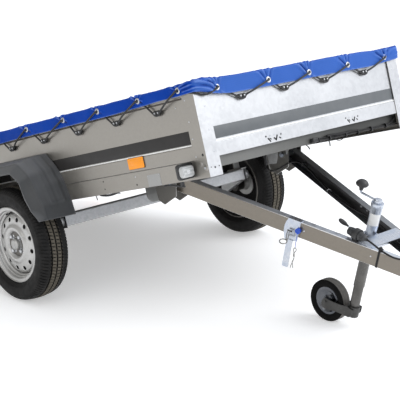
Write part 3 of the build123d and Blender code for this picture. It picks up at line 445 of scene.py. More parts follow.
M["amber"] = lens("amber_lens", (0.95, 0.30, 0.0005), (1.0, 0.38, 0.001))
M["red"] = lens("red_lens", (0.38, 0.006, 0.006), (0.60, 0.014, 0.012))
M["clear"] = lens("clear_lens", (0.42, 0.43, 0.43), (0.66, 0.67, 0.67), rough=0.14)
M["reflector"] = lens("lamp_reflector", (0.60, 0.61, 0.62), (0.80, 0.81, 0.82), rough=0.2, pitch=420)

# phenolic-faced plywood floor: ply edges in z, wire-mesh print on its face
m = Mat("plywood", rough=0.5)
g = m.noise(9, 5, 0.6, co=m.scaled(1, 9, 30), distortion=0.4)
c = m.mix(m.remap(g, 0.3, 0.7), (0.040, 0.034, 0.029), (0.066, 0.056, 0.047))
m.colour(c)
m.bump(g, 0.12, 0.0008)
M["ply"] = m.m
# painted shade: a near-black colour standing in for the dark inside of holes and slots
m = Mat("hole_painted_shade", rough=0.8)
m.colour(m.mix(m.remap(m.noise(200, 3, 0.6), 0.3, 0.7), (0.006, 0.006, 0.006), (0.018, 0.018, 0.018)))
M["hole"] = m.m

# the jockey tube: bright zinc above the beams, darker below them
m = Mat("tube_zinc", rough=0.28, metallic=1.0)
sep = m.node("ShaderNodeSeparateXYZ")
m.link(m.tc.outputs["Object"], sep.inputs[0])
n = m.noise(14, 4, 0.6, distortion=0.6)
c = m.mix(m.remap(n, 0.35, 0.7), (0.60, 0.62, 0.66), (0.44, 0.50, 0.60))
d = m.mix(m.remap(n, 0.35, 0.7), (0.150, 0.145, 0.137), (0.108, 0.105, 0.100))
z0 = (BAR @ V(0.835, 0, -0.030)).z
m.colour(m.mix(m.remap(m.math("ADD", sep.outputs[2], m.remap(m.noise(60, 3, 0.6), 0.3, 0.7, -0.004, 0.004)), z0 - 0.012, z0 + 0.012), d, c))
m.roughness(m.remap(m.noise(30, 4, 0.6), 0.3, 0.7, 0.24, 0.42))
m.bump(m.noise(120, 3, 0.5), 0.08, 0.0004)
M["zinc_tube"] = m.m


# ---- geometry helpers --------------------------------------------------------
COLL = bpy.context.scene.collection


class Piece:
    """Collects shapes, drawn in any frame, into one mesh object."""

    def __init__(self, name, mats, body, slot=None, replaces=(), bevel=0.0, segs=2, angle=32.0, sharp=32.0, smooth=True):
        self.name, self.body, self.slot, self.replaces = name, body, slot, replaces
        self.mats = [M[k] for k in ([mats] if isinstance(mats, str) else mats)]
        self.v, self.f, self.mi = [], [], []
        self.bevel, self.segs, self.angle, self.sharp, self.smooth = bevel, segs, angle, sharp, smooth

    def add(self, verts, faces, frame=ROW, mat=0, flip=False):
        o = len(self.v)
        flip = flip ^ (frame.to_3x3().determinant() < 0)
        self.v.extend((frame @ Vector(p))[:] for p in verts)
        for f in faces:
            f = [i + o for i in f]
            self.f.append(tuple(reversed(f)) if flip else tuple(f))
            self.mi.append(mat)
        return self

    def box(self, lo, hi, frame=ROW, mat=0):
        (a, b, c), (d, e, f) = lo, hi
        v = [(a, b, c), (d, b, c), (d, e, c), (a, e, c), (a, b, f), (d, b, f), (d, e, f), (a, e, f)]
        return self.add(v, [(0, 3, 2, 1), (4, 5, 6, 7), (0, 1, 5, 4), (1, 2, 6, 5), (2, 3, 7, 6), (3, 0, 4, 7)], frame, mat)

    def prism(self, poly, lo, hi, axis="z", frame=ROW, mat=0):
        """Outline extruded from lo to hi along axis; the outline's two coordinates are the other two, in order x, y, z."""
        area = sum(poly[i - 1][0] * poly[i][1] - poly[i][0] * poly[i - 1][1] for i in range(len(poly)))
        if area < 0:
            poly = list(reversed(poly))
        n = len(poly)

        def at(p, h):
            return {"x": (h, p[0], p[1]), "y": (p[0], h, p[1]), "z": (p[0], p[1], h)}[axis]

        lo, hi = min(lo, hi), max(lo, hi)
        v = [at(p, lo) for p in poly] + [at(p, hi) for p in poly]
        f = [tuple(reversed(range(n))), tuple(range(n, 2 * n))] + [(i, (i + 1) % n, n + (i + 1) % n, n + i) for i in range(n)]
        return self.add(v, f, frame, mat, flip=(axis == "y"))

    def lathe(self, prof, centre, axis, n=48, frame=ROW, mat=0, closed=False, cap=True, phase=0.0):
        """prof is (distance along the axis, radius); closed joins its last point to its first."""
        c, a = Vector(centre), Vector(axis).normalized()
        u = a.orthogonal().normalized()
        w = a.cross(u)
        v, f, rings = [], [], []
        for d, r in prof:
            if r < 1e-7:
                rings.append([len(v)])
                v.append((c + a * d)[:])
            else:
                rings.append(list(range(len(v), len(v) + n)))
                v.extend((c + a * d + (u * math.cos(t) + w * math.sin(t)) * r)[:] for t in (phase + 2 * math.pi * i / n for i in range(n)))
        pairs = list(zip(rings, rings[1:])) + ([(rings[-1], rings[0])] if closed else [])
        for p, q in pairs:
            for i in range(n):
                j = (i + 1) % n
                face = ([p[i % len(p)], p[j % len(p)], q[j % len(q)], q[i % len(q)]])
                if len(p) == 1:
                    face = [p[0], q[j], q[i]]
                elif len(q) == 1:
                    face = [p[i], p[j], q[0]]
                f.append(tuple(face))
        if cap and not closed:
            if len(rings[0]) > 1:
                f.append(tuple(reversed(rings[0])))
            if len(rings[-1]) > 1:
                f.append(tuple(rings[-1]))
        return self.add(v, f, frame, mat)

    def rod(self, p0, p1, r, n=20, frame=ROW, mat=0, r1=None, chamfer=0.12):
        """Round bar with chamfered ends."""
        p0, p1 = Vector(p0), Vector(p1)
        r1 = r if r1 is None else r1
        L = (p1 - p0).length
        k = min(chamfer * r, L * 0.2)
        return self.lathe([(0, r - k), (k, r), (L - k, r1), (L, r1 - k)], p0, p1 - p0, n, frame, mat)

    def hex(self, p0, axis, across, h, frame=ROW, mat=0, phase=0.0):
        """Hexagon head with a chamfered rim."""
        r = across / math.sqrt(3)
        return self.lathe([(0, r * 0.97), (h * 0.1, r), (h * 0.82, r), (h, r * 0.86)], p0, axis, 6, frame, mat, phase=phase)

    def torus(self, centre, axis, R, r, n=48, k=12, frame=ROW, mat=0, squash=1.0):
        prof = [(math.sin(2 * math.pi * i / k) * r * squash, R + math.cos(2 * math.pi * i / k) * r) for i in range(k)]
        return self.lathe(prof, centre, axis, n, frame, mat, closed=True)

    def tube(self, pts, r, n=10, frame=ROW, mat=0, cap=True, closed=False):
        """Round tube swept along points, without twist; r may be one radius or one for each point."""
        P = [Vector(p) for p in pts]
        N = len(P)
        rr = r if hasattr(r, "__len__") else [r] * N
        T = []
        for i in range(N):
            a, b = (P[i - 1], P[(i + 1) % N]) if closed else (P[max(i - 1, 0)], P[min(i + 1, N - 1)])
            T.append((b - a).normalized())
        u = T[0].orthogonal().normalized()
        v, f = [], []
        for i in range(N):
            u = (u - T[i] * u.dot(T[i])).normalized()
            w = T[i].cross(u)
            v.extend((P[i] + (u * math.cos(2 * math.pi * j / n) + w * math.sin(2 * math.pi * j / n)) * rr[i])[:] for j in range(n))
        for i in range(N if closed else N - 1):
            for j in range(n):
                a, b = i * n + j, i * n + (j + 1) % n
                c, d = ((i + 1) % N) * n + (j + 1) % n, ((i + 1) % N) * n + j
                f.append((a, b, c, d))
        if cap and not closed:
            f.append(tuple(reversed(range(n))))
            f.append(tuple(range((N - 1) * n, N * n)))
        return self.add(v, f, frame, mat)

    def band(self, poly, lo, hi, t, axis="z", frame=ROW, mat=0):
        """A strip bent along an open polyline: thickness t, from lo to hi along axis."""
        P = [Vector((p[0], p[1])) for p in poly]
        off = []
        for i, p in enumerate(P):
            n1 = (P[i] - P[i - 1]) if i else (P[1] - P[0])
            n2 = (P[i + 1] - P[i]) if i + 1 < len(P) else n1
            a, b = Vector((-n1.y, n1.x)).normalized(), Vector((-n2.y, n2.x)).normalized()
            s = (a + b) / max(0.3, 1 + a.dot(b))
            off.append(p + s * t)
        return self.prism([tuple(p) for p in P] + [tuple(p) for p in reversed(off)], lo, hi, axis, frame, mat)

    def done(self, frame_body=None):
        me = bpy.data.meshes.new(self.name)
        me.from_pydata(self.v, [], self.f)
        for mt in self.mats:
            me.materials.append(mt)
        me.polygons.foreach_set("material_index", self.mi)
        bm = bmesh.new()
        bm.from_mesh(me)
        bmesh.ops.remove_doubles(bm, verts=bm.verts, dist=2e-6)
        bmesh.ops.dissolve_degenerate(bm, edges=bm.edges, dist=1e-7)
        bm.to_mesh(me)
        bm.free()
        me.validate()
        me.update()
        ob = bpy.data.objects.new(self.name, me)
        COLL.objects.link(ob)
        if self.bevel:
            b = ob.modifiers.new("edge", "BEVEL")
            b.width, b.segments, b.limit_method, b.angle_limit = self.bevel, self.segs, "ANGLE", math.radians(self.angle)
            b.harden_normals = False
            b.use_clamp_overlap = True
        if self.smooth:
            me.shade_smooth()
            me.set_sharp_from_angle(angle=math.radians(self.sharp))
        if self.bevel:
            wn = ob.modifiers.new("normals", "WEIGHTED_NORMAL")
            wn.keep_sharp = True
        if self.body:
            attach(ob, self.body)
        if self.replaces:
            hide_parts(*self.replaces)
        return ob


def nurbs(name, pts, frame=ROW, radius=0.0, resolution=8, k=4):
    """A NURBS spline with these control points; returns a temporary curve object."""
    cu = bpy.data.curves.new(name, "CURVE")
    cu.dimensions = "3D"
    sp = cu.splines.new("NURBS")
    sp.points.add(len(pts) - 1)
    for i, p in enumerate(pts):
        sp.points[i].co = (*(frame @ Vector(p)), 1.0)
    sp.order_u = 3
    sp.use_endpoint_u = True
    sp.resolution_u = resolution
    cu.resolution_u = resolution
    if radius:
        cu.bevel_depth = radius
        cu.bevel_resolution = k
        cu.use_fill_caps = True
    ob = bpy.data.objects.new(name + "_curve", cu)
    COLL.objects.link(ob)
    return ob


def spline_points(pts, frame=ROW, resolution=8):
    """Points of the NURBS spline through these control points, as Blender gives them."""
    ob = nurbs("line", pts, frame, 0.0, resolution)
    bpy.context.view_layer.update()
    me = bpy.data.meshes.new_from_object(ob)
    line = [v.co[:] for v in me.vertices]
    cu = ob.data
    bpy.data.objects.remove(ob)
    bpy.data.curves.remove(cu)
    bpy.data.meshes.remove(me)
    return line


def cord_piece(name, pts, frame, radius, mats, body, slot=None, replaces=(), resolution=8, n=12, extra=None):
    """A smooth round cord along the route's own spline."""
    line = spline_points(pts, frame, resolution)
    p = Piece(name, mats, body, slot, replaces, sharp=60)
    p.tube(line, radius, n)
    if extra:
        extra(p)
    return p.done(), line


def finish_node(name, mat, bevel=0.0, segs=2, angle=30.0):
    """A CAD node that stays: its material, and its sheet edges rounded by a modifier."""
    ob = nodes[name]
    ob.data.materials.clear()
    ob.data.materials.append(M[mat])
    if bevel:
        w = ob.modifiers.new("weld", "WELD")
        w.merge_threshold = 1e-5
        b = ob.modifiers.new("edge", "BEVEL")
        b.width, b.segments, b.limit_method, b.angle_limit = bevel, segs, "ANGLE", math.radians(angle)
        b.use_clamp_overlap = True
        b.harden_normals = True
    return ob


FINISH = {
    "side_rails": ("galv", 0.0016), "cross_members": ("galv_rail", 0.0015), "floor_board": ("ply", 0.0008),
    "side_panel_left": ("galv", 0.0012), "side_panel_right": ("galv", 0.0012), "front_panel": ("galv", 0.0012),
    "corner_posts": ("galv", 0.0012), "tailgate": ("galv", 0.0012), "tailgate_hinge_leaves": ("zinc", 0.0007),
    "tailgate_hinge_pins": ("zinc", 0.0007), "rear_skirt_plate": ("galv", 0.0008), "axle_beam": ("galv_dip", 0.0),
    "axle_brackets": ("galv_bracket", 0.0012), "suspension_arms": ("galv_dip", 0.0015), "pivot_brackets": ("galv_bracket", 0.001),
    "pivot_pins": ("zinc", 0.0008), "drawbar_beam_left": ("beam_painted_shade", 0.0016), "drawbar_beam_right": ("galv_beam", 0.0026),
    "jockey_crossplate": ("zinc", 0.001), "jockey_clamp": ("zinc", 0.001), "clamp_handle": ("zinc", 0.0), "clamp_grip": ("black", 0.0),
    "coupler_plate": ("galv_beam", 0.001), "coupler_head": ("zinc", 0.0012), "coupler_lever": ("black", 0.0015),
    "jockey_outer_tube": ("zinc_tube", 0.0008), "jockey_leg": ("zinc_dull", 0.0006), "jockey_fork": ("zinc_fork", 0.0008),
    "jockey_crank": ("zinc", 0.0), "crank_knob": ("black", 0.0), "jockey_rim": ("jockey_rim", 0.0), "hub_left": ("hub", 0.0),
    "hub_right": ("hub", 0.0), "lamp_board": ("black", 0.0012), "closing_latch": ("zinc", 0.0008), "latch_cap": ("blue_plastic", 0.0008),
    "latch_strap": ("zinc", 0.0008), "plug_holder": ("black", 0.0012), "drawbar_cable_gland": ("black", 0.0012),
    "bed_cable_gland": ("black", 0.001), "axle_end_plates": ("black", 0.0006),
}
for name, (mat, bevel) in FINISH.items():
    if name in nodes:
        finish_node(name, mat, bevel)


# ---- camera, floor and light -------------------------------------------------
cam_data = bpy.data.cameras.new("camera")
cam = bpy.data.objects.new("camera", cam_data)
COLL.objects.link(cam)
right, up, back = V(0.6831928, 0.7295284, -0.0321862), V(-0.1669020, 0.1989073, 0.9657016), V(0.7109088, -0.6543885, 0.2576518)
rot = Matrix((right, up, back)).transposed().to_4x4()
cam.matrix_world = Matrix.Translation((3.812094, -3.505101, 1.786110)) @ rot
cam_data.lens, cam_data.sensor_width = 98.93, 36.0
cam_data.clip_end = 200
bpy.context.scene.camera = cam

fm = Mat("studio_floor", rough=0.9, Specular_IOR_Level=0.1, Emission_Strength=0.36)
fm.p.inputs["Emission Color"].default_value = (1, 1, 1, 1)
fm.colour(fm.mix(fm.remap(fm.noise(1.3, 2, 0.5), 0.3, 0.7), (0.86, 0.86, 0.86), (0.88, 0.88, 0.88)))
floor_mesh = bpy.data.meshes.new("floor")
floor_mesh.from_pydata([(-45, -45, 0), (45, -45, 0), (45, 45, 0), (-45, 45, 0)], [], [(0, 1, 2, 3)])
floor_mesh.materials.append(fm.m)
floor = bpy.data.objects.new("floor", floor_mesh)
COLL.objects.link(floor)

# soft studio: brighter from the front, dimmer from the right side
world = bpy.data.worlds.new("studio")
bpy.context.scene.world = world
world.use_nodes = True
wt = world.node_tree
wt.nodes.clear()
wo = wt.nodes.new("ShaderNodeOutputWorld")
wb = wt.nodes.new("ShaderNodeBackground")
wc = wt.nodes.new("ShaderNodeTexCoord")
wd = wt.nodes.new("ShaderNodeVectorMath")
wd.operation = "DOT_PRODUCT"
wd.inputs[1].default_value = V(0.62, 0.58, 0.52).normalized()
wr = wt.nodes.new("ShaderNodeMapRange")
wr.inputs["From Min"].default_value, wr.inputs["From Max"].default_value = -0.45, 0.95
wr.interpolation_type = "SMOOTHSTEP"
wm = wt.nodes.new("ShaderNodeMix")
wm.data_type = "RGBA"
wm.inputs[6].default_value = (0.46, 0.455, 0.44, 1)
wm.inputs[7].default_value = (1.17, 1.21, 1.28, 1)
wt.links.new(wc.outputs["Generated"], wd.inputs[0])
wt.links.new(wd.outputs["Value"], wr.inputs["Value"])
wt.links.new(wr.outputs["Result"], wm.inputs[0])
wt.links.new(wm.outputs[2], wb.inputs["Color"])
wb.inputs["Strength"].default_value = 1.0
wt.links.new(wb.outputs["Background"], wo.inputs["Surface"])


def softbox(name, at, to, size, power, colour=(1, 1, 1)):
    d = bpy.data.lights.new(name, "AREA")
    d.shape, d.size, d.size_y, d.energy, d.color = "RECTANGLE", size[0], size[1], power, colour
    ob = bpy.data.objects.new(name, d)
    ob.matrix_world = Matrix.Translation(at) @ (Vector(to) - Vector(at)).to_track_quat("-Z", "Y").to_matrix().to_4x4()
    COLL.objects.link(ob)
    return ob


softbox("key", (4.5, 3.0, 5.0), (0, 0, 0.4), (4.0, 4.0), 200)
softbox("fill", (0.5, -6.5, 3.2), (0.2, 0, 0.5), (5.0, 2.5), 60, (1.0, 0.985, 0.96))
bpy.context.scene.view_settings.view_transform = "Standard"
bpy.context.scene.view_settings.look = "None"

# ---- cords -------------------------------------------------------------------
# the lead between the bed's clip and the left beam's channel: a free loop beside the pivot
LOOP = mm([(769.8, 300, 184), (736, 300, 184.5), (703, 300, 178), (672, 300, 158), (654, 301, 127), (656, 301, 95), (682, 301, 75), (719, 301, 74),
           (757, 301, 83), (790, 303, 95), (820, 313, 101), (853.3, 329.1, 96.2), (876.8, 325.2, 82.8)])
loop, loop_line = cord_piece("lead_loop", LOOP, BED, 0.0035, "cable", None, "black_cable", ["bed_cable"], resolution=10, n=14)
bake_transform(loop)

# the lead held in the left beam's channel, round the nose and back to its plug
LEAD = mm([(162.0, 321.4, 1.0), (214.3, 304.8, 2.5), (279.5, 285.8, -10), (339.9, 267.6, -17), (404.0, 248.3, -25.3), (471.2, 228.7, -25.8),
           (559.7, 203.4, -18.5), (615.5, 187.6, -11), (663.8, 174.5, -2), (721.9, 159.6, 5), (789.7, 141.9, 3.5), (846.7, 123.1, 2), (889.0, 107.6, 4),
           (968, 62, 14), (1028, 42, 34), (1078, 4, 45), (1092, -50, 46), (1078, -98, 46), (1037, -115, 43), (1003, -108, 39.8), (969, -107.5, 41),
           (938, -118, 56), (907.2, -122, 62)])
lead, lead_line = cord_piece("drawbar_lead", LEAD, BAR, 0.004, "cable", "drawbar", "black_cable", ["drawbar_cable"], resolution=8, n=14)

# short lanyard from the cap to its retaining clip
LANYARD = mm([(654, -14, -13.1), (655.5, -14, -35), (654.5, -14, -57), (656.5, -14, -77.8)])
lanyard, lanyard_line = cord_piece("cap_lanyard", LANYARD, RIGHT, 0.00125, "blue_plastic", "drawbar", "blue_plastic", ["latch_lanyard"], resolution=10, n=10)

# spring clip (R shape) on the lanyard's end: one wire, a round eye above, a straight and a wavy leg below
eye = [(-4.6, 8.5), (-6.4, 3.5), (-6.0, -2.0), (-2.6, -6.4), (2.0, -7.0), (5.8, -3.6), (6.6, 2.2), (4.2, 8.0), (0.6, 13.5), (-2.2, 20.0), (-2.6, 26.5), (0.2, 33.0),
       (3.4, 39.5), (3.2, 47.0), (0.0, 53.0), (-2.0, 59.5), (-0.6, 66.0), (2.6, 72.0), (4.6, 79.0), (6.2, 86.0)]
leg = [(-4.6, 8.5), (-2.4, 14.5), (1.2, 21.0), (3.4, 30.0), (3.0, 42.0), (1.4, 54.0), (-1.4, 66.0), (-3.4, 78.0), (-4.6, 88.0)]
pin = Piece("retaining_clip", "galv_bracket", "drawbar", "bright_zinc", ["latch_clip"], sharp=50)
X0, Z0 = 657.5, -86.0
wire = [RIGHT @ V((X0 + a) / 1000, -0.014, (Z0 - b) / 1000) for a, b in reversed(eye)]
wire2 = [RIGHT @ V((X0 + a) / 1000, -0.0142 - 0.00035 * i, (Z0 - b) / 1000) for i, (a, b) in enumerate(leg)]
pin.tube(spline_points(wire), 0.0016, 10)
pin.tube(spline_points(wire2), 0.0016, 10)
pin.done()
ring = Piece("clip_ring", "steel", "drawbar", "bright_zinc", sharp=60)
ring.torus(RIGHT @ V(0.6568, -0.014, -0.0792), RIGHT.to_3x3() @ V(1, 0, 0), 0.0027, 0.0010, 24, 8)
ring = ring.done()


# ---- flat cover --------------------------------------------------------------
CO, XF, XR, ZT, HEM = 0.6555, 1.3100, -1.0470, 0.5320, 0.4740
RC, RE = 0.014, 0.009
SIDE_EYES = [-0.992, -0.750, -0.460, -0.170, 0.110, 0.416, 0.681, 0.966, 1.226]
SIDE_HOOKS = [-0.910, -0.628, -0.346, -0.064, 0.218, 0.500, 0.782, 1.062]
FRONT_EYES = [-0.520, -0.227, 0.026, 0.285, 0.550]
FRONT_HOOKS = [-0.386, -0.130, 0.128, 0.395]
EYE_Z, FRONT_EYE_Z = 0.5085, 0.4840
FRONT_RISE = {-0.520: 0.0070, -0.227: 0.0005, 0.026: -0.0015, 0.285: -0.0005, 0.550: 0.0070}
HOOK_Z, FRONT_HOOK_Z = 0.4480, 0.4450


def stations(lo, hi, eyes, fine=0.0052, coarse=0.0135, near=0.052):
    """Positions along an edge, close together near the eyelets."""
    out, p = [lo], lo
    while p < hi - 1e-6:
        d = min(abs(p + fine - e) for e in eyes) if eyes else 1
        step = fine if d < near else coarse
        p = min(hi, p + step)
        if hi - p < 0.5 * step:
            p = hi
        out.append(p)
    return out


def crease(a, b, phi, amp, w, length, ridge=0.7):
    """A pull crease that starts at an eyelet and runs off at angle phi: a groove with a ridge beside it."""
    c, s = math.cos(math.radians(phi)), math.sin(math.radians(phi))
    t, q = a * c + b * s, -a * s + b * c
    if t < 0 or t > length:
        return 0.0
    ww = w * (0.7 + 1.1 * t / length)
    fade = smooth(t / 0.010) * (1 - smooth((t - 0.55 * length) / (0.45 * length)))
    return amp * fade * (-math.exp(-(q / ww) ** 2) + ridge * math.exp(-((q - 1.7 * ww) / ww) ** 2) + 0.4 * ridge * math.exp(-((q + 1.8 * ww) / ww) ** 2))


def fold(a, b, p, q, amp, w, sharp=True):
    """A fold from point p to point q of the sheet: steep on one side, soft on the other."""
    dx, dy = q[0] - p[0], q[1] - p[1]
    L = math.hypot(dx, dy)
    t = ((a - p[0]) * dx + (b - p[1]) * dy) / L
    d = (-(a - p[0]) * dy + (b - p[1]) * dx) / L
    ends = smooth((t + 0.012) / 0.022) * (1 - smooth((t - L + 0.008) / 0.026))
    if ends <= 0:
        return 0.0
    k = d / w
    shape = math.exp(-abs(k) * 1.5) if k < 0 and sharp else math.exp(-(k * 0.75) ** 2)
    return amp * ends * shape


def relief(edge, a, b, z):
    """Height of the sheet above its plain form. a runs along the edge towards the front (sides) or the left (front), b is measured up the sheet from the hem and over onto the top."""
    eyes, ez = (SIDE_EYES, EYE_Z) if edge == "side" else (FRONT_EYES, FRONT_EYE_Z)
    h, near = 0.0, 1.0
    for i, e in enumerate(eyes):
        if abs(a - e) < 0.13:
            u, v = a - e, b - (ez - HEM)
            k = 0.85 + 0.3 * math.sin(3.7 * i + 1.0)
            h += crease(u, v, 141 + 6 * math.sin(5.1 * i), 0.0074 * k, 0.0046, 0.105)
            h += crease(u, v, 97 + 9 * math.sin(2.3 * i), 0.0046 * k, 0.0042, 0.080, 0.9)
            h += crease(u, v, 62 + 8 * math.sin(4.1 * i + 1), 0.0034, 0.0056, 0.095)
            h += crease(u, v, -38, 0.0042 * k, 0.0046, 0.045)
            h += crease(u, v, 176, 0.0012, 0.0060, 0.060)
            near = min(near, 1 - math.exp(-((u * u + v * v) ** 0.5 / 0.0145) ** 4))
    h *= near
    # hem slack between the eyelets, where nothing pulls it in
    gaps = sorted(eyes)
    for p, q in zip(gaps, gaps[1:]):
        if p < a < q:
            t = (a - p) / (q - p)
            h += 0.0034 * math.sin(math.pi * t) ** 2 * (1 - smooth(b / 0.055)) - 0.0008
    h += 0.0016 * mn.noise(V(a * 9, b * 14, 3.1 if edge == "side" else 8.7)) + 0.0007 * mn.noise(V(a * 34, b * 40, 1.7))
    return h


def corner_relief(c, b):
    """The cloth left over at a front corner, tucked into a flap on the front. c is the distance past the corner: below 0 along the side, above 0 along the front."""
    if c < -0.150 or c > 0.175:
        return 0.0
    h = 0.0
    # fan from the side's last eyelet (c -0.078) to the corner
    h += fold(c, b, (-0.070, 0.040), (-0.006, 0.066), 0.0072, 0.0064)
    h += fold(c, b, (-0.068, 0.030), (-0.004, 0.040), 0.0066, 0.0060)
    h += fold(c, b, (-0.060, 0.012), (0.006, 0.016), 0.0042, 0.0060)
    h += fold(c, b, (-0.082, 0.052), (-0.052, 0.105), 0.0036, 0.0060)
    # the tucked flap on the front, and the folds that close on the front's first eyelet (c 0.132)
    body = smooth((c + 0.006) / 0.022) * (1 - smooth((c - 0.088) / 0.030)) * (1 - smooth((b - 0.052) / 0.040)) * smooth((b + 0.004) / 0.010)
    h += 0.0105 * body * (0.62 + 0.38 * math.sin(math.pi * min(1.0, max(0.0, (c - 0.0) / 0.105))))
    h += fold(c, b, (0.120, 0.024), (0.012, 0.058), 0.0078, 0.0070)
    h += fold(c, b, (0.124, 0.030), (0.036, 0.082), 0.0066, 0.0062)
    h += fold(c, b, (0.112, 0.010), (0.006, 0.024), 0.0056, 0.0070)
    h += fold(c, b, (0.130, 0.034), (0.088, 0.094), 0.0050, 0.0055)
    h -= 0.0050 * math.exp(-((0.35 * (c - 0.105) + (b - 0.040)) / 0.0045) ** 2) * smooth((c - 0.05) / 0.03) * (1 - smooth((c - 0.110) / 0.02))
    h -= 0.0035 * math.exp(-((c - 0.062) / 0.016) ** 2 - ((b - 0.034) / 0.010) ** 2)
    h += 0.0014 * mn.noise(V(c * 42, b * 46, 5.3))
    return h


def top_height(x, y):
    """The cover's top: tight along the walls, hanging a little between them."""
    ex = smooth((XF - x) / 0.42) * smooth((x - XR) / 0.30)
    ey = 1 - (abs(y) / CO) ** 2.2
    z = -0.017 * ex * ey
    rear = smooth((1.15 - x) / 1.5)
    z += (-0.004 + 0.0125 * rear) * smooth((abs(y) - 0.30) / 0.30)
    z += 0.0030 * mn.noise(V(x * 2.2, y * 2.2, 0.4)) * ey ** 0.5 if ey > 0 else 0
    # long soft tension folds that run from the corners and between the eyelets
    z += 0.0016 * math.sin(38 * (x * 0.45 + y)) * ex * max(ey, 0) * (0.5 + 0.5 * mn.noise(V(x * 1.3, y * 1.3, 9.0)))
    z += 0.0012 * math.sin(52 * (x * 0.5 - y) + 1.0) * ex * max(ey, 0) * (0.5 + 0.5 * mn.noise(V(x * 1.1, y * 1.4, 4.0)))
    return z


xs = stations(XR, XF - RC, SIDE_EYES)
ys = stations(-(CO - RC), CO - RC, FRONT_EYES)
rows = []          # (height on the skirt, outward from the outer face, angle of the surface's normal from vertical)
for k in range(1, 7):
    th = math.radians(90 * k / 6)
    rows.append((ZT - RE + RE * math.cos(th), -RE + RE * math.sin(th), th))
n_fall = 13
for k in range(1, n_fall + 1):
    rows.append((ZT - RE - (ZT - RE - HEM) * k / n_fall, 0.0, math.pi / 2))
rows += [(HEM - 0.0009, -0.0008, math.pi / 2), (HEM - 0.0006, -0.0021, math.pi / 2), (HEM + 0.0010, -0.0028, math.pi / 2),
         (HEM + 0.0080, -0.0030, math.pi / 2), (HEM + 0.0160, -0.0030, math.pi / 2)]
FALL = len(rows)

cover = Piece("cover_sheet", "cover", "bed", "blue_cover", ["tarp_cover"], sharp=75)
verts, faces, top_id = [], [], {}


def skirt_b(z, ang):
    """Distance along the sheet above the hem."""
    return (z - HEM) if ang > 1.5 else (ZT - RE - HEM) + RE * (math.pi / 2 - ang)


def edge_z(edge, a, side_sign=1):
    """How much the whole edge rises or sinks here."""
    if edge == "side":
        return 0.0085 - 0.0035 * smooth((a + 0.3) / 1.5)
    return 0.0045 + 0.0008 * math.sin(7 * a) - 0.0030 * smooth((a - 0.30) / 0.3)


def hem_shift(edge, a):
    """How much the hem alone rises or sinks here; the drop of the skirt is not even all round."""
    if edge == "side":
        return 0.0040 * smooth((a + 0.3) / 0.5) + 0.0080 * smooth((a - 0.75) / 0.35) + 0.003 * smooth((a - 1.20) / 0.10)
    return -0.0145 * smooth((a + 0.60) / 0.16) * (1 - smooth((a - 0.40) / 0.22)) + 0.0150 * (1 - smooth((a + 0.655) / 0.12))


def placed(edge, a, px, py, nx, ny, z, out, ang, c=None):
    b = skirt_b(z, ang)
    h = relief(edge, a, b, z)
    if c is not None:
        own_relief = corner_relief(c, b)
        h = h * smooth((abs(c) - 0.02) / 0.10) + (own_relief * 1.35 if py < 0 else own_relief * 0.35)
    if z < HEM + 0.02 and out < -0.0004:
        h *= 1.0
    lift = edge_z(edge, a)
    if c is not None:
        w = 0.5 - 0.5 * smooth(abs(c) / 0.05)
        lift = lift * (1 - w) + w * 0.5 * (edge_z("side", XF) + edge_z("front", -CO))
    drop = min(1.0, max(0.0, (ZT - RE - z) / (ZT - RE - HEM)))
    own = hem_shift(edge, a if edge == "side" else a)
    if c is not None and px > 1.0:
        front_side = -CO if py < 0 else CO
        w = 0.5 - 0.5 * smooth(abs(c) / 0.03)
        own = own * (1 - w) + w * 0.5 * (hem_shift("side", XF) + hem_shift("front", front_side))
    lift += own * drop
    wave = 0.0013 * mn.noise(V(px * 7, py * 7, 2.2)) * (1 - smooth((z - HEM) / 0.03))
    so, uo = math.sin(ang), math.cos(ang)
    off = out + h * so
    # the skirt leans in a little towards its hem
    off -= 0.0012 * smooth((ZT - z) / 0.06)
    return (px + nx * off, py + ny * off, z + lift + wave + h * uo * (0.45 if c is not None and abs(c) < 0.17 else 1.0))


for i, x in enumerate(xs):
    for j, y in enumerate(ys):
        dx, dy = XF - x, CO - abs(y)
        h = 0.0
        if dy < 0.16:
            h += relief("side", x, (ZT - RE - HEM) + RE * math.pi / 2 + max(0.0, dy - RE), ZT) * (1 - smooth((dy - 0.03) / 0.12))
        if dx < 0.16:
            h += relief("front", y, (ZT - RE - HEM) + RE * math.pi / 2 + max(0.0, dx - RE), ZT) * (1 - smooth((dx - 0.03) / 0.12))
        near_corner = max(dx, dy)
        if near_corner < 0.20:
            c = (dy - dx)
            own_relief = corner_relief(c, (ZT - RE - HEM) + RE * math.pi / 2 + min(dx, dy) - RE) * (1 - smooth((min(dx, dy) - 0.02) / 0.07))
            h = h * smooth((near_corner - 0.02) / 0.10) + own_relief * (0.50 if y < 0 else 0.15)
            h += (0.0015 if y < 0 else 0.0) * math.exp(-((dx - 0.035) / 0.030) ** 2 - ((dy - 0.055) / 0.034) ** 2)
        edge = min(dx, dy)
        lift = edge_z("side", x) if dy < dx else edge_z("front", y)
        blend_in = 1 - smooth((edge - RC) / 0.05)
        z = ZT + (lift * blend_in + top_height(x, y) * (1 - blend_in)) + h
        top_id[i, j] = len(verts)
        verts.append((x, y, z))
for i in range(len(xs) - 1):
    for j in range(len(ys) - 1):
        faces.append((top_id[i, j], top_id[i + 1, j], top_id[i + 1, j + 1], top_id[i, j + 1]))

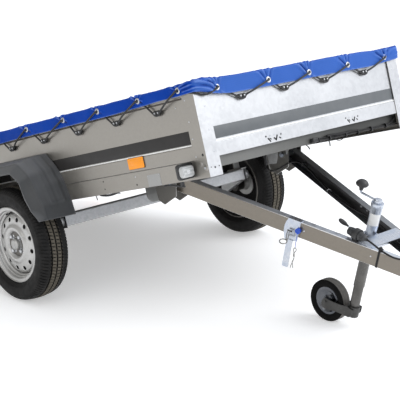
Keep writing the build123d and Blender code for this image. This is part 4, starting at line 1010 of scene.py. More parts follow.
# the edge all round: left side, front left corner, front, front right corner, right side
ring = []
for i, x in enumerate(xs):
    ring.append(("side", x, x, CO, 0.0, 1.0, top_id[i, len(ys) - 1], -(XF - x)))
for k in range(1, 8):
    t = math.radians(90 - 90 * k / 8)
    ring.append(("corner", XF, XF - RC + RC * math.cos(t), CO - RC + RC * math.sin(t), math.cos(t), math.sin(t), top_id[len(xs) - 1, len(ys) - 1], (k - 4) * RC * 0.196))
for j in reversed(range(len(ys))):
    c = CO - ys[j] if ys[j] > 0 else CO + ys[j]
    ring.append(("front", ys[j], XF, ys[j], 1.0, 0.0, top_id[len(xs) - 1, j], c))
for k in range(1, 8):
    t = math.radians(-90 * k / 8)
    ring.append(("corner", XF, XF - RC + RC * math.cos(t), -(CO - RC) + RC * math.sin(t), math.cos(t), math.sin(t), top_id[len(xs) - 1, 0], (4 - k) * RC * 0.196))
for i in reversed(range(len(xs))):
    ring.append(("side", xs[i], xs[i], -CO, 0.0, -1.0, top_id[i, 0], -(XF - xs[i])))
prev = None
for edge, a, px, py, nx, ny, top, c in ring:
    ids = [top]
    cc = c if abs(c) < 0.2 else None
    for z, out, ang in rows:
        kind = "front" if edge == "front" or (edge == "corner" and nx > 0.7) else "side"
        aa = a if edge != "corner" else (-CO if kind == "front" else XF)
        ids.append(len(verts))
        verts.append(placed(kind, aa, px, py, nx, ny, z, out, ang, cc))
    if prev:
        for k in range(FALL):
            q = (prev[k], ids[k], ids[k + 1], prev[k + 1])
            q = tuple(dict.fromkeys(q))
            if len(q) > 2:
                faces.append(q)
    prev = ids
# rear hem, turned under
rear, low = [top_id[0, j] for j in range(len(ys))], []
for j in range(len(ys)):
    x, y, z = verts[top_id[0, j]]
    low.append((len(verts), len(verts) + 1, len(verts) + 2))
    verts += [(x - 0.0012, y, z - 0.0008), (x - 0.0004, y, z - 0.0018), (x + 0.014, y, z - 0.0020)]
for j in range(len(ys) - 1):
    a, b = (rear[j],) + low[j], (rear[j + 1],) + low[j + 1]
    for k in range(3):
        faces.append((a[k], b[k], b[k + 1], a[k + 1]))
cover.add(verts, faces, BED)
cover = cover.done()
bm = bmesh.new()
bm.from_mesh(cover.data)
bmesh.ops.recalc_face_normals(bm, faces=bm.faces)
if sum(f.normal.z * f.calc_area() for f in bm.faces) < 0:
    bmesh.ops.reverse_faces(bm, faces=bm.faces)
bm.to_mesh(cover.data)
bm.free()
cover.data.shade_smooth()


def eyelet(p, at, axis, frame):
    """Rolled metal eyelet, 25 mm across, with a near-black disc in its hole as painted shade."""
    ax = Vector(axis)
    prof = [(-0.0012, 0.0064), (0.0018, 0.0062), (0.0028, 0.0069), (0.0032, 0.0086), (0.0029, 0.0106), (0.0020, 0.0126), (0.0007, 0.0136), (-0.0010, 0.0137)]
    p.lathe(prof, at, ax, 36, frame, 0, closed=True)
    p.lathe([(-0.0004, 0.0), (-0.0004, 0.0063), (-0.0010, 0.0063)], at, ax, 24, frame, 1, cap=False)


def hook(p, at, along, out, frame):
    """Two round lacing knobs on a short plate, each with a rivet head."""
    at, e, o = Vector(at), Vector(along).normalized(), Vector(out).normalized()
    upv = V(0, 0, 1)
    outline = []
    for k in range(24):
        t = 2 * math.pi * k / 24
        c = 0.0105 if math.cos(t) > 0 else -0.0105
        outline.append((c + 0.0092 * math.cos(t), 0.0092 * math.sin(t)))
    base = Matrix((e, upv, o)).transposed().to_4x4()
    base.translation = at
    p.prism(outline, 0.0, 0.0026, "z", frame @ base, 0)
    for s in (-1, 1):
        c = at + e * 0.0105 * s
        prof = [(0.002, 0.0052), (0.0082, 0.0046), (0.0096, 0.0076), (0.0112, 0.0092), (0.0130, 0.0095), (0.0144, 0.0086), (0.0150, 0.0060)]
        p.lathe(prof, c, o, 24, frame, 0)
        p.lathe([(0.0146, 0.0036), (0.0158, 0.0034), (0.0166, 0.0022), (0.0168, 0.0)], c, o, 18, frame, 1, cap=False)


eyes = Piece("cover_eyelets", ["steel", "hole"], "bed", "bright_zinc", sharp=50)
hooks = Piece("lacing_hooks", ["black", "steel"], "bed", "black_plastic", sharp=40)
for s in (-1, 1):
    for x in SIDE_EYES:
        zz = EYE_Z + edge_z("side", x)
        eyelet(eyes, (x, s * (CO - 0.0008), zz), (0, s, 0), BED)
    for x in SIDE_HOOKS:
        hook(hooks, (x, s * 0.6355, HOOK_Z), (1, 0, 0), (0, s, 0), BED)
for y in FRONT_EYES:
    eyelet(eyes, (XF - 0.0008, y, FRONT_EYE_Z + edge_z("front", y) + FRONT_RISE[y]), (1, 0, 0), BED)
for y in FRONT_HOOKS:
    hook(hooks, (1.290, y, FRONT_HOOK_Z), (0, 1, 0), (1, 0, 0), BED)
eyes = eyes.done()
hooks.done()


def lace_unit(place, e0, h, e1, ez0, ez1, hz, hem):
    """Control points of the cord from behind one eyelet, under a hook and up to the next eyelet. place(a, z, out) puts them on the wall."""
    def on(t, o, p=(h + 0.0205, hz + 0.0015), q=(e1 - 0.004, ez1 - 0.0005)):
        return (p[0] + (q[0] - p[0]) * t, p[1] + (q[1] - p[1]) * t, o)

    t = (hem - 0.002 - (hz + 0.0015)) / (ez1 - 0.0005 - (hz + 0.0015))
    pts = [(e0 + 0.006, ez0 - 0.002, 0.0085), (h - 0.0240, hz + 0.0010, 0.0064), (h - 0.0145, hz - 0.0120, 0.0060),
           (h + 0.0145, hz - 0.0120, 0.0060), on(0.0, 0.0075), on(max(t - 0.28, 0.12), 0.0175), on(t, 0.0222), on(min(t + 0.14, 0.72), 0.0226), on(0.86, 0.0222),
           (e1 - 0.0045, ez1 - 0.001, 0.0236), (e1 + 0.0005, ez1 + 0.0006, 0.0205), (e1 + 0.0025, ez1, 0.0120)]
    return [place(*p) for p in pts]


route = []
for s in (-1, 1):
    part = []
    for e0, h, e1 in zip(SIDE_EYES, SIDE_HOOKS, SIDE_EYES[1:]):
        part += lace_unit(lambda a, z, o, s=s: (a, s * (0.6395 + o), z), e0, h, e1, EYE_Z + edge_z("side", e0), EYE_Z + edge_z("side", e1), HOOK_Z, HEM + edge_z("side", h) + hem_shift("side", h))
    sides = part
    if s < 0:
        route = part
        zf = FRONT_EYE_Z + edge_z("front", -0.520) + FRONT_RISE[-0.520]
        route += [(1.252, -0.6468, 0.503), (1.284, -0.6470, 0.494), (1.3010, -0.6400, 0.4900), (1.3012, -0.6180, 0.4840), (1.3030, -0.6020, 0.4770),
                  (1.3110, -0.5880, 0.4740), (1.3180, -0.5680, 0.4790), (1.3195, -0.5320, zf - 0.006), (1.3200, -0.5220, zf), (1.3160, -0.5195, zf + 0.0006), (1.3060, -0.5175, zf)]
        for e0, h, e1 in zip(FRONT_EYES, FRONT_HOOKS, FRONT_EYES[1:]):
            route += lace_unit(lambda a, z, o: (1.294 + o, a, z), e0, h, e1, FRONT_EYE_Z + edge_z("front", e0) + FRONT_RISE[e0], FRONT_EYE_Z + edge_z("front", e1) + FRONT_RISE[e1], FRONT_HOOK_Z, HEM + edge_z("front", h) + hem_shift("front", h))
        route += [(1.3010, 0.560, 0.486), (1.3010, 0.618, 0.488), (1.3005, 0.640, 0.492), (1.288, 0.6468, 0.498), (1.262, 0.6468, 0.504)]
    else:
        route += list(reversed(part))
cord_piece("cover_lacing", route, BED, 0.0041, "elastic", "bed", "black_cable", resolution=5, n=9)

# rear flap, on the tailgate
XB, FE, FH = -1.0760, [-0.49, -0.165, 0.165, 0.49], [-0.385, -0.055, 0.275]
fy = stations(-(CO - 0.0022), CO - 0.0022, FE, 0.0060, 0.0135)
flap = Piece("cover_rear_flap", "cover", "tailgate", "blue_cover", ["tarp_rear_flap"], sharp=75)
verts, faces, prev = [], [], None
path = [(-1.0400, 0.5290, 0.0), (-1.0500, 0.5292, 0.0), (-1.0600, 0.5292, 0.0), (-1.0670, 0.5290, 0.0)]
for k in range(1, 7):
    t = math.radians(90 * k / 6)
    path.append((-1.0670 - 0.0090 * math.sin(t), 0.5200 + 0.0090 * math.cos(t), t))
for k in range(1, 12):
    path.append((XB, 0.5200 - (0.5200 - HEM) * k / 11, math.pi / 2))
path += [(XB + 0.0010, HEM - 0.0009, 1.57), (XB + 0.0024, HEM - 0.0004, 1.57), (XB + 0.0028, HEM + 0.008, 1.57), (XB + 0.0028, HEM + 0.016, 1.57)]
for y in fy:
    ids = []
    for x, z, t in path:
        b = (z - HEM) if t > 1.5 else (0.520 - HEM) + 0.009 * (math.pi / 2 - t)
        h = 0.0
        for i, e in enumerate(FE):
            u, v = y - e, b - (0.500 - HEM)
            if abs(u) < 0.12 and t > 0.3:
                k = 1 - math.exp(-((u * u + v * v) ** 0.5 / 0.0145) ** 4)
                h += k * (crease(u, v, 138, 0.0034, 0.005, 0.09) + crease(u, v, 84, 0.0024, 0.0048, 0.08) + crease(u, v, -35, 0.0022, 0.005, 0.04))
        h += 0.0012 * mn.noise(V(y * 9, b * 14, 6.1)) if t > 0.3 else 0.0
        ids.append(len(verts))
        verts.append((x - h * math.sin(t), y, z + h * math.cos(t)))
    if prev:
        faces += [(prev[k], prev[k + 1], ids[k + 1], ids[k]) for k in range(len(ids) - 1)]
    prev = ids
# its short returns round the sides
n = len(path)
for s, first in ((-1, 0), (1, (len(fy) - 1) * n)):
    base = [first + k for k in range(n - 4)]
    last = base
    for step, inset in ((0.0008, 0.0018), (0.0, 0.0030)):
        cur = []
        for k in base:
            x, y, z = verts[k]
            cur.append(len(verts))
            verts.append((x + (0.001 if z < 0.51 else 0), y + s * (0.0022 - step) * 0.6, z - inset * 0.6))
        faces += [(last[k], cur[k], cur[k + 1], last[k + 1]) for k in range(len(base) - 1)]
        last = cur
    # side returns hang down from the top strip's ends
    cur = []
    topk = [k for k in range(n) if path[k][2] <= 1.0]
    down = []
    for lvl in range(0, 9):
        line = []
        for k in topk:
            x, z, t = path[k]
            zz = z - 0.0025 - lvl * (z - 0.0025 - (HEM + 0.003)) / 8
            xx = x - (0.0025 + 0.005 * lvl / 8 if t > 0.5 else 0.0)
            line.append(len(verts))
            verts.append((max(xx, XB + 0.0015), s * (CO - 0.0018 - 0.0004 * math.sin(lvl)), zz))
        down.append(line)
    for p, q in zip(down, down[1:]):
        faces += [(p[k], q[k], q[k + 1], p[k + 1]) for k in range(len(p) - 1)]
flap.add(verts, faces, BED)
flap = flap.done()
feyes = Piece("flap_eyelets", ["steel", "hole"], "tailgate", "bright_zinc", sharp=50)
fhooks = Piece("flap_hooks", ["black", "steel"], "tailgate", "black_plastic", sharp=40)
for y in FE:
    eyelet(feyes, (XB + 0.0006, y, 0.500), (-1, 0, 0), BED)
for y in FH:
    hook(fhooks, (-1.059, y, 0.432), (0, 1, 0), (-1, 0, 0), BED)
feyes = feyes.done()
fhooks.done()
route = []
for e0, h, e1 in zip(FE, FH, FE[1:]):
    unit = lace_unit(lambda a, z, o: (-1.063 - o * (0.0176 / 0.0222 if o > 0.01 else 0.72), a, z), e0, h, e1, 0.500, 0.500, 0.432, HEM)
    route += unit
cord_piece("flap_lacing", route, BED, 0.0036, "elastic", "tailgate", "black_cable", resolution=5, n=9)


# ---- wheels ------------------------------------------------------------------
TYRE_R = 0.2735


def tyre_section():
    """(offset from the centre plane, radius, kind: side 0, block 1, shoulder 2, groove 3) from the inner bead over the tread to the outer bead, in mm."""
    side = [(54.5, 167, 0), (57, 175, 0), (58.2, 182, 0), (60.5, 185.5, 0), (63.2, 186.0, 0), (65.0, 188.5, 0), (67.6, 193, 0), (70.6, 198.5, 0), (72.4, 201.5, 0), (74.2, 202.8, 0),
            (75.6, 205.5, 0), (77.2, 212, 0), (78.3, 220, 0), (78.5, 228, 0), (78.0, 236, 0), (77.0, 242.5, 0), (77.3, 244.6, 0), (76.4, 247.0, 2), (75.0, 250.5, 2), (73.2, 254.5, 2),
            (70.6, 258.8, 2), (67.2, 262.6, 2), (63.2, 265.2, 2), (56.0, 267.6, 2), (49.0, 269.0, 2), (43.0, 270.0, 2), (37.0, 270.7, 2), (34.2, 270.9, 2), (33.3, 270.2, 3), (31.6, 262.6, 3),
            (25.2, 262.6, 3), (23.6, 271.6, 3), (22.8, 272.3, 1), (18.0, 272.6, 1), (13.0, 272.8, 1), (8.0, 273.1, 1), (4.6, 273.3, 1), (3.7, 272.6, 3), (2.2, 264.2, 3), (0.0, 264.2, 3)]
    return side + [(-a, r, k) for a, r, k in reversed(side[:-1])]


def make_tyre(name, s, body):
    sec = tyre_section()
    P = 100
    marks = [(0.0, 0.0), (0.05, 1.0), (0.30, 1.0), (0.35, 0.0), (0.52, 0.0), (0.80, 0.0)]
    verts, faces = [], []
    n = len(sec)
    for p in range(P):
        for frac, cut in marks:
            for a, r, kind in sec:
                t = (p + frac) / P * 2 * math.pi
                step = 2 * math.pi / P
                rr = r
                if kind == 2:
                    # slanting shoulder sipes that run out on the side
                    t += step * (abs(a) - 34) / 40 * (0.55 if a > 0 else -0.55)
                    rr = r - cut * (3.6 * smooth((r - 249) / 8) * smooth((abs(a) - 43) / 5) + 0.5)
                elif kind == 1:
                    t += step * (0.45 + 0.016 * abs(a)) * (1 if a > 0 else -1)
                    rr = r - cut * 4.2 * smooth(min(abs(abs(a) - 4.2), abs(abs(a) - 23.2)) / 2.5 + 0.55)
                elif kind == 3:
                    # zigzag groove walls
                    ph = (p + frac) * 2 * math.pi
                    a = a + 1.5 * math.sin(ph) * (1 if a > 0 else -1) * (0.6 if abs(a) < 10 else 1)
                verts.append(((TYRE_R * 0 + rr / 1000) * math.cos(t), s * a / 1000, (rr / 1000) * math.sin(t)))
    rows_n = P * len(marks)
    for i in range(rows_n):
        j = (i + 1) % rows_n
        for k in range(n - 1):
            faces.append((i * n + k, j * n + k, j * n + k + 1, i * n + k + 1))
        # bead face, closing the ring inside the rim
        faces.append((i * n + n - 1, j * n + n - 1, j * n, i * n))
    at = BED @ Matrix.Translation((0, s * 0.7375, 0))
    p = Piece(name, ["rubber", "tread"], body, "tyre_rubber", [name], sharp=38)
    p.add(verts, faces, at, flip=(s < 0))
    ob = p.done()
    inv = at.inverted()
    for poly in ob.data.polygons:
        c = inv @ poly.center
        if math.hypot(c.x, c.z) > 0.2690 and abs(c.y) < 0.0335:
            poly.material_index = 1
    return ob


def rim_height(r):
    """Offset of the dish's outer face at radius r (mm): hub seat, bright raised ring, vent cone, seat in the barrel."""
    pts = [(30, 31.5), (51, 31.5), (54.5, 32.4), (57.5, 35.6), (60.5, 40.6), (64, 45.6), (68, 48.9), (73, 50.6), (78.5, 50.8), (84, 49.0), (89, 45.8), (94, 42.8), (99, 40.9), (105, 39.9), (120, 37.8), (132, 34.0), (137, 30.8), (141, 25.6), (144.2, 20.5), (145.6, 14)]
    for (a, x), (b, y) in zip(pts, pts[1:]):
        if a <= r <= b:
            t = (r - a) / (b - a)
            return x + (y - x) * (t if b - a > 9 else t)
    return pts[0][1] if r < pts[0][0] else pts[-1][1]


def make_rim(name, s, body):
    p = Piece(name, ["silver", "wheel_well", "silver_painted_shade"], body, "silver_paint", [name], sharp=34)
    at = BED @ Matrix.Translation((0, s * 0.7375, 0))
    mirror = Matrix.Scale(-1, 4, (0, 1, 0)) if s < 0 else Matrix.Identity(4)
    F = at @ mirror
    # barrel, with rolled flanges, bead humps and a drop centre
    outer = [(54.6, 165.4), (55.4, 175), (56.0, 180.2), (57.4, 182.4), (59.8, 183.0), (62.2, 181.8), (63.6, 179.4), (63.9, 177.4)]
    inside = [(62.6, 177.4), (61.4, 178.4), (59.8, 176.6), (58.8, 171.4), (57.8, 167.0), (55.8, 163.9), (52.4, 162.5), (47.5, 162.1), (45.0, 161.2), (43.6, 158.6), (42.4, 156.2), (39.6, 155.5), (34.6, 155.1), (32.2, 153.7), (30.8, 150.6), (28.4, 148.3), (24.0, 147.3), (18.0, 145.6), (0, 145.2)]
    half = list(reversed(outer)) + [(52.4, 164.9), (46.0, 164.5), (40.0, 160.8), (31.0, 158.2), (26.4, 152.2), (21.0, 149.4), (0, 148.4)]
    ring = [(a, r) for a, r in half] + [(-a, r) for a, r in reversed(half[:-1])] + [(-a, r) for a, r in inside[:-1]] + [(a, r) for a, r in reversed(inside)]
    p.lathe([(a / 1000, r / 1000) for a, r in ring], (0, 0, 0), (0, 1, 0), 120, F, closed=True)
    # dish, front and back faces, in rings; the vents are cut in between r 105 and 135
    N, HR, RCV, PH = 12, 10.4, 120.0, math.radians(9.0)
    t = 3.2
    sec = 2 * math.pi / N
    M_ = 24     # points around each vent
    r_in, r_out = 105.0, 135.0

    def pt(r, th, back):
        d = rim_height(r) - (t if back else 0)
        return (r / 1000 * math.cos(th), d / 1000, r / 1000 * math.sin(th))

    for back in (False, True):
        rings_r = [30.0, 33, 40, 48, 56, 59, 61.5, 64, 67, 70, 74, 79, 84, 89, 94, 99, r_in]
        outer_r = [r_out, 137, 139, 141, 143, 144.4, 145.6]
        per = 7
        for rs in (rings_r, outer_r):
            v, f = [], []
            cnt = N * (per - 1)
            for r in rs:
                for i in range(cnt):
                    v.append(pt(r, PH - sec / 2 + i * sec / (per - 1), back))
            for a in range(len(rs) - 1):
                for i in range(cnt):
                    j = (i + 1) % cnt
                    f.append((a * cnt + i, a * cnt + j, (a + 1) * cnt + j, (a + 1) * cnt + i))
            p.add(v, f, F, flip=not back)
        for k in range(N):
            mid = PH + k * sec
            # the sector's border, the same number of points as the vent's circle, matched by direction
            border = []
            for i in range(per):
                border.append((r_out, mid + sec / 2 - i * sec / (per - 1)))
            for i in range(1, per):
                border.append((r_out + (r_in - r_out) * i / (per - 1), mid - sec / 2))
            for i in range(1, per):
                border.append((r_in, mid - sec / 2 + i * sec / (per - 1)))
            for i in range(1, per - 1):
                border.append((r_in + (r_out - r_in) * i / (per - 1), mid + sec / 2))
            nb = len(border)
            v, f = [], []
            levels = [0.0, 0.45, 0.78, 0.93, 1.0]
            for lv in levels:
                for r, th in border:
                    x, z = (r - RCV), (th - mid) * RCV
                    d = math.hypot(x, z)
                    cx, cz = x / d * HR, z / d * HR
                    X, Z = x + (cx - x) * lv, z + (cz - z) * lv
                    q = pt(RCV + X, mid + Z / RCV, back)
                    lip = 0.0
                    if lv > 0.9:
                        lip = -0.0007 if lv < 1.0 else -0.0022
                    v.append((q[0], q[1] + (lip if not back else lip), q[2]))
            for a in range(len(levels) - 1):
                for i in range(nb):
                    j = (i + 1) % nb
                    f.append((a * nb + i, a * nb + j, (a + 1) * nb + j, (a + 1) * nb + i))
            p.add(v, f, F, flip=back)
            if not back:
                # wall of the vent
                v, f = [], []
                for back2 in (False, True):
                    for r, th in border:
                        x, z = (r - RCV), (th - mid) * RCV
                        d = math.hypot(x, z)
                        q = pt(RCV + x / d * HR, mid + z / d * HR / RCV, back2)
                        v.append((q[0], q[1] - 0.0022, q[2]))
                for i in range(nb):
                    j = (i + 1) % nb
                    f.append((i, j, nb + j, nb + i))
                p.add(v, f, F, flip=False)
    # rim of the hub hole and of the dish's seat
    for r, fl in ((30.0, True), (145.6, False)):
        v = [pt(r, 2 * math.pi * i / 72 + PH - sec / 2, b) for b in (False, True) for i in range(72)]
        p.add(v, [(i, (i + 1) % 72, 72 + (i + 1) % 72, 72 + i) for i in range(72)], F, flip=fl)
    ob = p.done()
    bm = bmesh.new()
    bm.from_mesh(ob.data)
    bmesh.ops.remove_doubles(bm, verts=bm.verts, dist=2e-5)
    bmesh.ops.recalc_face_normals(bm, faces=bm.faces)
    bm.to_mesh(ob.data)
    bm.free()
    ob.data.shade_smooth()
    ob.data.set_sharp_from_angle(angle=math.radians(34))
    # the inside behind the dish is near-black, painted shade
    inv = F.inverted()
    n3 = inv.to_3x3()
    for poly in ob.data.polygons:
        c, n = inv @ poly.center, n3 @ poly.normal
        r = math.hypot(c.x, c.z) * 1000
        behind = c.y * 1000 < (rim_height(min(max(r, 30), 145.6)) - 1.6 if r < 145.6 else 16)
        radial = (n.x * c.x + n.z * c.z) < -1e-4
        if behind and ((r < 145.0 and n.y < 0.2) or (r > 144.0 and radial and c.y > -0.06)):
            poly.material_index = 1
        # the hub recess and the faces turned inward take the dark grey painted shade
        elif (r < 59.5 and n.y > 0.1 and c.y > 0.028) or n.y < -0.25:
            poly.material_index = 2
    # near-black lining close behind the dish: a painted shade sheet filling the wheel's inside
    back = Piece("painted_shade_wheel_lining_" + ("left" if s > 0 else "right"), "wheel_well", body, "black_plastic", sharp=40)
    back.lathe([((rim_height(r) - 6.5) / 1000, r / 1000) for r in (58, 66, 74, 84, 94, 105, 120, 132, 138)] + [(0.0210, 0.1405), (0.0150, 0.1425), (0.0136, 0.1425), (0.0190, 0.1390)]
               + [((rim_height(r) - 8.5) / 1000, r / 1000) for r in (132, 120, 105, 94, 84, 74, 66, 58)], (0, 0, 0), (0, 1, 0), 72, F, closed=True)
    back.done()
    # wheel bolts, centre cap, valve
    b = Piece("wheel_bolts_" + ("left" if s > 0 else "right"), ["steel", "galv_dip", "rubber_plain"], body, "bright_zinc", sharp=34)
    for k in range(4):
        th = math.radians(38 + 90 * k)
        c = V(0.0465 * math.cos(th), 0.0315, 0.0465 * math.sin(th))
        b.lathe([(-0.001, 0.0135), (0.0012, 0.0132), (0.0040, 0.0106)], c, (0, 1, 0), 32, F, 0)
        b.hex(c + V(0, 0.0036, 0), (0, 1, 0), 0.017, 0.0105, F, 0, phase=0.4 * k)
        b.lathe([(0.0140, 0.0062), (0.0152, 0.0050), (0.0152, 0.0)], c, (0, 1, 0), 24, F, 0, cap=False)
    cap = [(30.2, 30.0), (33.6, 30.0), (35.4, 28.6), (36.0, 27.2), (46.0, 26.2), (51.0, 24.6), (53.6, 22.0), (55.0, 17.0), (55.8, 9.0), (56.0, 0.0)]
    b.lathe([(a / 1000, r / 1000) for a, r in cap], (0, 0, 0), (0, 1, 0), 48, F, 1)
    b.torus((0, 0.0325, 0), (0, 1, 0), 0.0312, 0.0013, 48, 8, F, 1)
    th = PH + sec * 2.5
    c = V(0.1565 * math.cos(th), 0.030, 0.1565 * math.sin(th))
    b.tube([c, c + V(-0.004 * math.cos(th), 0.008, -0.004 * math.sin(th)), c + V(-0.007 * math.cos(th), 0.020, -0.007 * math.sin(th)), c + V(-0.008 * math.cos(th), 0.030, -0.008 * math.sin(th))],
           [0.0052, 0.0044, 0.0034, 0.0034], 14, F, 2)
    b.rod(c + V(-0.008 * math.cos(th), 0.029, -0.008 * math.sin(th)), c + V(-0.0085 * math.cos(th), 0.039, -0.0085 * math.sin(th)), 0.0040, 14, F, 2)
    b.done()
    return ob


for name, s in (("right", -1), ("left", 1)):
    make_tyre("tyre_" + name, s, "wheel_" + name)
    make_rim("rim_" + name, s, "wheel_" + name)

# ---- mudguards ---------------------------------------------------------------
WALL = [(-334, 88), (-325, 155), (-298, 258), (-264, 316), (-203, 386), (203, 386), (264, 316), (298, 258), (325, 155), (334, 88)]
CREASE = [(-309, 90), (-300, 152), (-269, 231), (-238, 306), (-164, 368), (164, 368), (238, 306), (269, 231), (300, 152), (309, 90)]
EDGE = [(-304, 92), (-257, 146), (-229.5, 204.5), (-213.5, 282), (-151, 334), (151, 334), (213.5, 282), (229.5, 204.5), (257, 146), (304, 92)]


def arch_stations(lines, radii, steps=5, gap=10.0):
    """The same stations along several outlines with the same corners, each rounded by its own radius."""
    L = [[Vector(p) for p in line] for line in lines]
    n = len(L[0])

    def cut(Q, i, j, r):
        return min(0.46, r / (Q[j] - Q[i]).length)

    out = []
    for i in range(n - 1):
        m = max(1, round((L[0][i + 1] - L[0][i]).length / gap))
        for k in range(m + (1 if i == n - 2 else 0)):
            row = []
            for Q, r in zip(L, radii):
                a0 = 0.0 if i == 0 else cut(Q, i, i + 1, r)
                a1 = 1.0 if i == n - 2 else 1 - cut(Q, i + 1, i, r)
                row.append(Q[i].lerp(Q[i + 1], a0 + (a1 - a0) * k / m))
            out.append(row)
        if i < n - 2:
            for k in range(steps):
                u = k / steps
                row = []
                for Q, r in zip(L, radii):
                    p0 = Q[i].lerp(Q[i + 1], 1 - cut(Q, i + 1, i, r))
                    p2 = Q[i + 1].lerp(Q[i + 2], cut(Q, i + 1, i + 2, r))
                    row.append(p0 * (1 - u) ** 2 + Q[i + 1] * 2 * u * (1 - u) + p2 * u ** 2)
                out.append(row)
    return out


def make_guard(name, s):
    p = Piece(name, ["guard"], "bed", "black_plastic", [name], sharp=42)
    st = arch_stations([WALL, CREASE, EDGE], [16.0, 12.0, 9.0])
    run, along = 0.0, [0.0]
    for i in range(1, len(st)):
        run += (st[i][0] - st[i - 1][0]).length
        along.append(run)
    v, f, prev = [], [], None
    for i, (a, b, e) in enumerate(st):
        q0, q1 = st[max(i - 1, 0)], st[min(i + 1, len(st) - 1)]

        def normal(k):
            d = (q1[k] - q0[k]).normalized()
            return Vector((-d.y, d.x))

        na, nb = normal(0), normal(1)
        u = along[i] / run
        lift = 4.2 * smooth((u - 0.075) / 0.012) * (1 - smooth((u - 0.925) / 0.012))
        y1, y2 = 780.0, 818.0 + 4.0 * smooth((b.y - 100) / 200)
        pts = [(640.2, a - na * 15.0), (640.0, a - na * 7.0), (640.3, a - na * 2.0), (641.4, a - na * 0.3), (644.0, a + na * 0.1)]
        # top and ends: pressed field between two steps, then the rounded crease
        for k in range(1, 19):
            w = k / 19
            y = 644 + (y1 - 5 - 644) * w
            h = lift * smooth((y - 668) / 3.5) * (1 - smooth((y - 742) / 3.5))
            h -= 2.2 * smooth((u - 0.075) / 0.012) * (1 - smooth((u - 0.925) / 0.012)) * math.exp(-((y - 705) / 4.5) ** 2)
            base = a.lerp(b, ((y - 640) / (y1 - 640)) ** 1.06)
            pts.append((y, base + na.lerp(nb, w) * h))
        edge_a = a.lerp(b, ((y1 - 5 - 640) / (y1 - 640)) ** 1.06)
        for k in range(7):
            w = k / 6
            q = edge_a * (1 - w) ** 2 + (b + nb * 1.2) * 2 * w * (1 - w) + b.lerp(e, 0.12) * w ** 2
            y = (y1 - 5) * (1 - w) ** 2 + (y1 + 1.2) * 2 * w * (1 - w) + (y1 + (y2 - y1) * 0.12) * w ** 2
            pts.append((y, q))
        for k in range(1, 9):
            w = 0.12 + 0.80 * k / 8
            y = y1 + (y2 - y1) * w
            pts.append((y, b.lerp(e, w)))
        ne = (b - e).normalized()
        pts.append((y2 - 1.0, b.lerp(e, 0.965)))
        pts.append((y2 + 0.4, e + ne * 0.4))
        pts.append((y2 - 0.2, e - ne * 1.6))
        pts.append((y2 - 4.0, e - ne * 2.6))
        pts.append((y2 - 12.0, e - ne * 2.8))
        row = []
        for y, q in pts:
            row.append(len(v))
            v.append((q.x / 1000, s * y / 1000, q.y / 1000))
        if prev:
            f += [(prev[k], row[k], row[k + 1], prev[k + 1]) for k in range(len(row) - 1)]
        prev = row
    p.add(v, f, BED, flip=(s > 0))
    ob = p.done()
    m = ob.modifiers.new("thick", "SOLIDIFY")
    m.thickness, m.offset = 0.0035, -1.0
    e = ob.modifiers.new("edge", "BEVEL")
    e.width, e.segments, e.limit_method, e.angle_limit = 0.0010, 2, "ANGLE", math.radians(60)
    # fixing screws through the inner flange
    b = Piece(name + "_screws", "black", "bed", "black_plastic", sharp=34)
    for x, z in ((-160, 376), (0, 376), (160, 376), (-274, 283), (274, 283), (-303, 204), (303, 204)):
        c = V(x / 1000, s * 0.6437, z / 1000)
        b.lathe([(0.0, 0.0060), (0.0016, 0.0060), (0.0030, 0.0048), (0.0036, 0.0028), (0.0036, 0.0)], c, (0, s, 0), 20, BED, cap=False)
    b.done()
    return ob


for name, s in (("right", -1), ("left", 1)):
    make_guard("mudguard_" + name, s)


# ---- lamps, reflectors, stripes, plates, fasteners ---------------------------
def rrect(cx, cy, w, h, r, n=5):
    r = max(0.0003, min(r, w / 2 - 1e-5, h / 2 - 1e-5))
    out = []
    for qx, qy, a0 in ((cx + w / 2 - r, cy + h / 2 - r, 0), (cx - w / 2 + r, cy + h / 2 - r, 90), (cx - w / 2 + r, cy - h / 2 + r, 180), (cx + w / 2 - r, cy - h / 2 + r, 270)):
        for k in range(n + 1):
            a = math.radians(a0 + 90 * k / n)
            out.append((qx + r * math.cos(a), qy + r * math.sin(a)))
    return out


def moulded(p, cx, cy, w, h, r, layers, axis, frame, mat=0):
    """A rounded-rectangle moulding: layers are (height along the axis, inset of the outline)."""
    rings, v, f = [], [], []
    for d, i in layers:
        ring = rrect(cx, cy, w - 2 * i, h - 2 * i, r - i)
        rings.append(list(range(len(v), len(v) + len(ring))))
        v += [{"x": (d, a, b), "y": (a, d, b), "z": (a, b, d)}[axis] for a, b in ring]
    n = len(rings[0])
    for a, b in zip(rings, rings[1:]):
        f += [(a[i], a[(i + 1) % n], b[(i + 1) % n], b[i]) for i in range(n)]
    f.append(tuple(reversed(rings[0])))
    f.append(tuple(rings[-1]))
    up = layers[-1][0] > layers[0][0]
    return p.add(v, f, frame, mat, flip=(axis == "y") ^ (not up))


def rivet(p, c, axis, r=0.0034, h=0.0016, frame=BED, mat=0):
    return p.lathe([(-0.0002, r), (h * 0.35, r * 0.97), (h * 0.75, r * 0.72), (h, r * 0.32), (h * 1.02, 0.0)], c, axis, 18, frame, mat, cap=False)


def spot(p, c, axis, r, frame=BED, mat=0, h=0.0003):
    return p.lathe([(-0.0002, r), (h * 0.7, r), (h, r * 0.93), (h, 0.0)], c, axis, 20, frame, mat, cap=False)


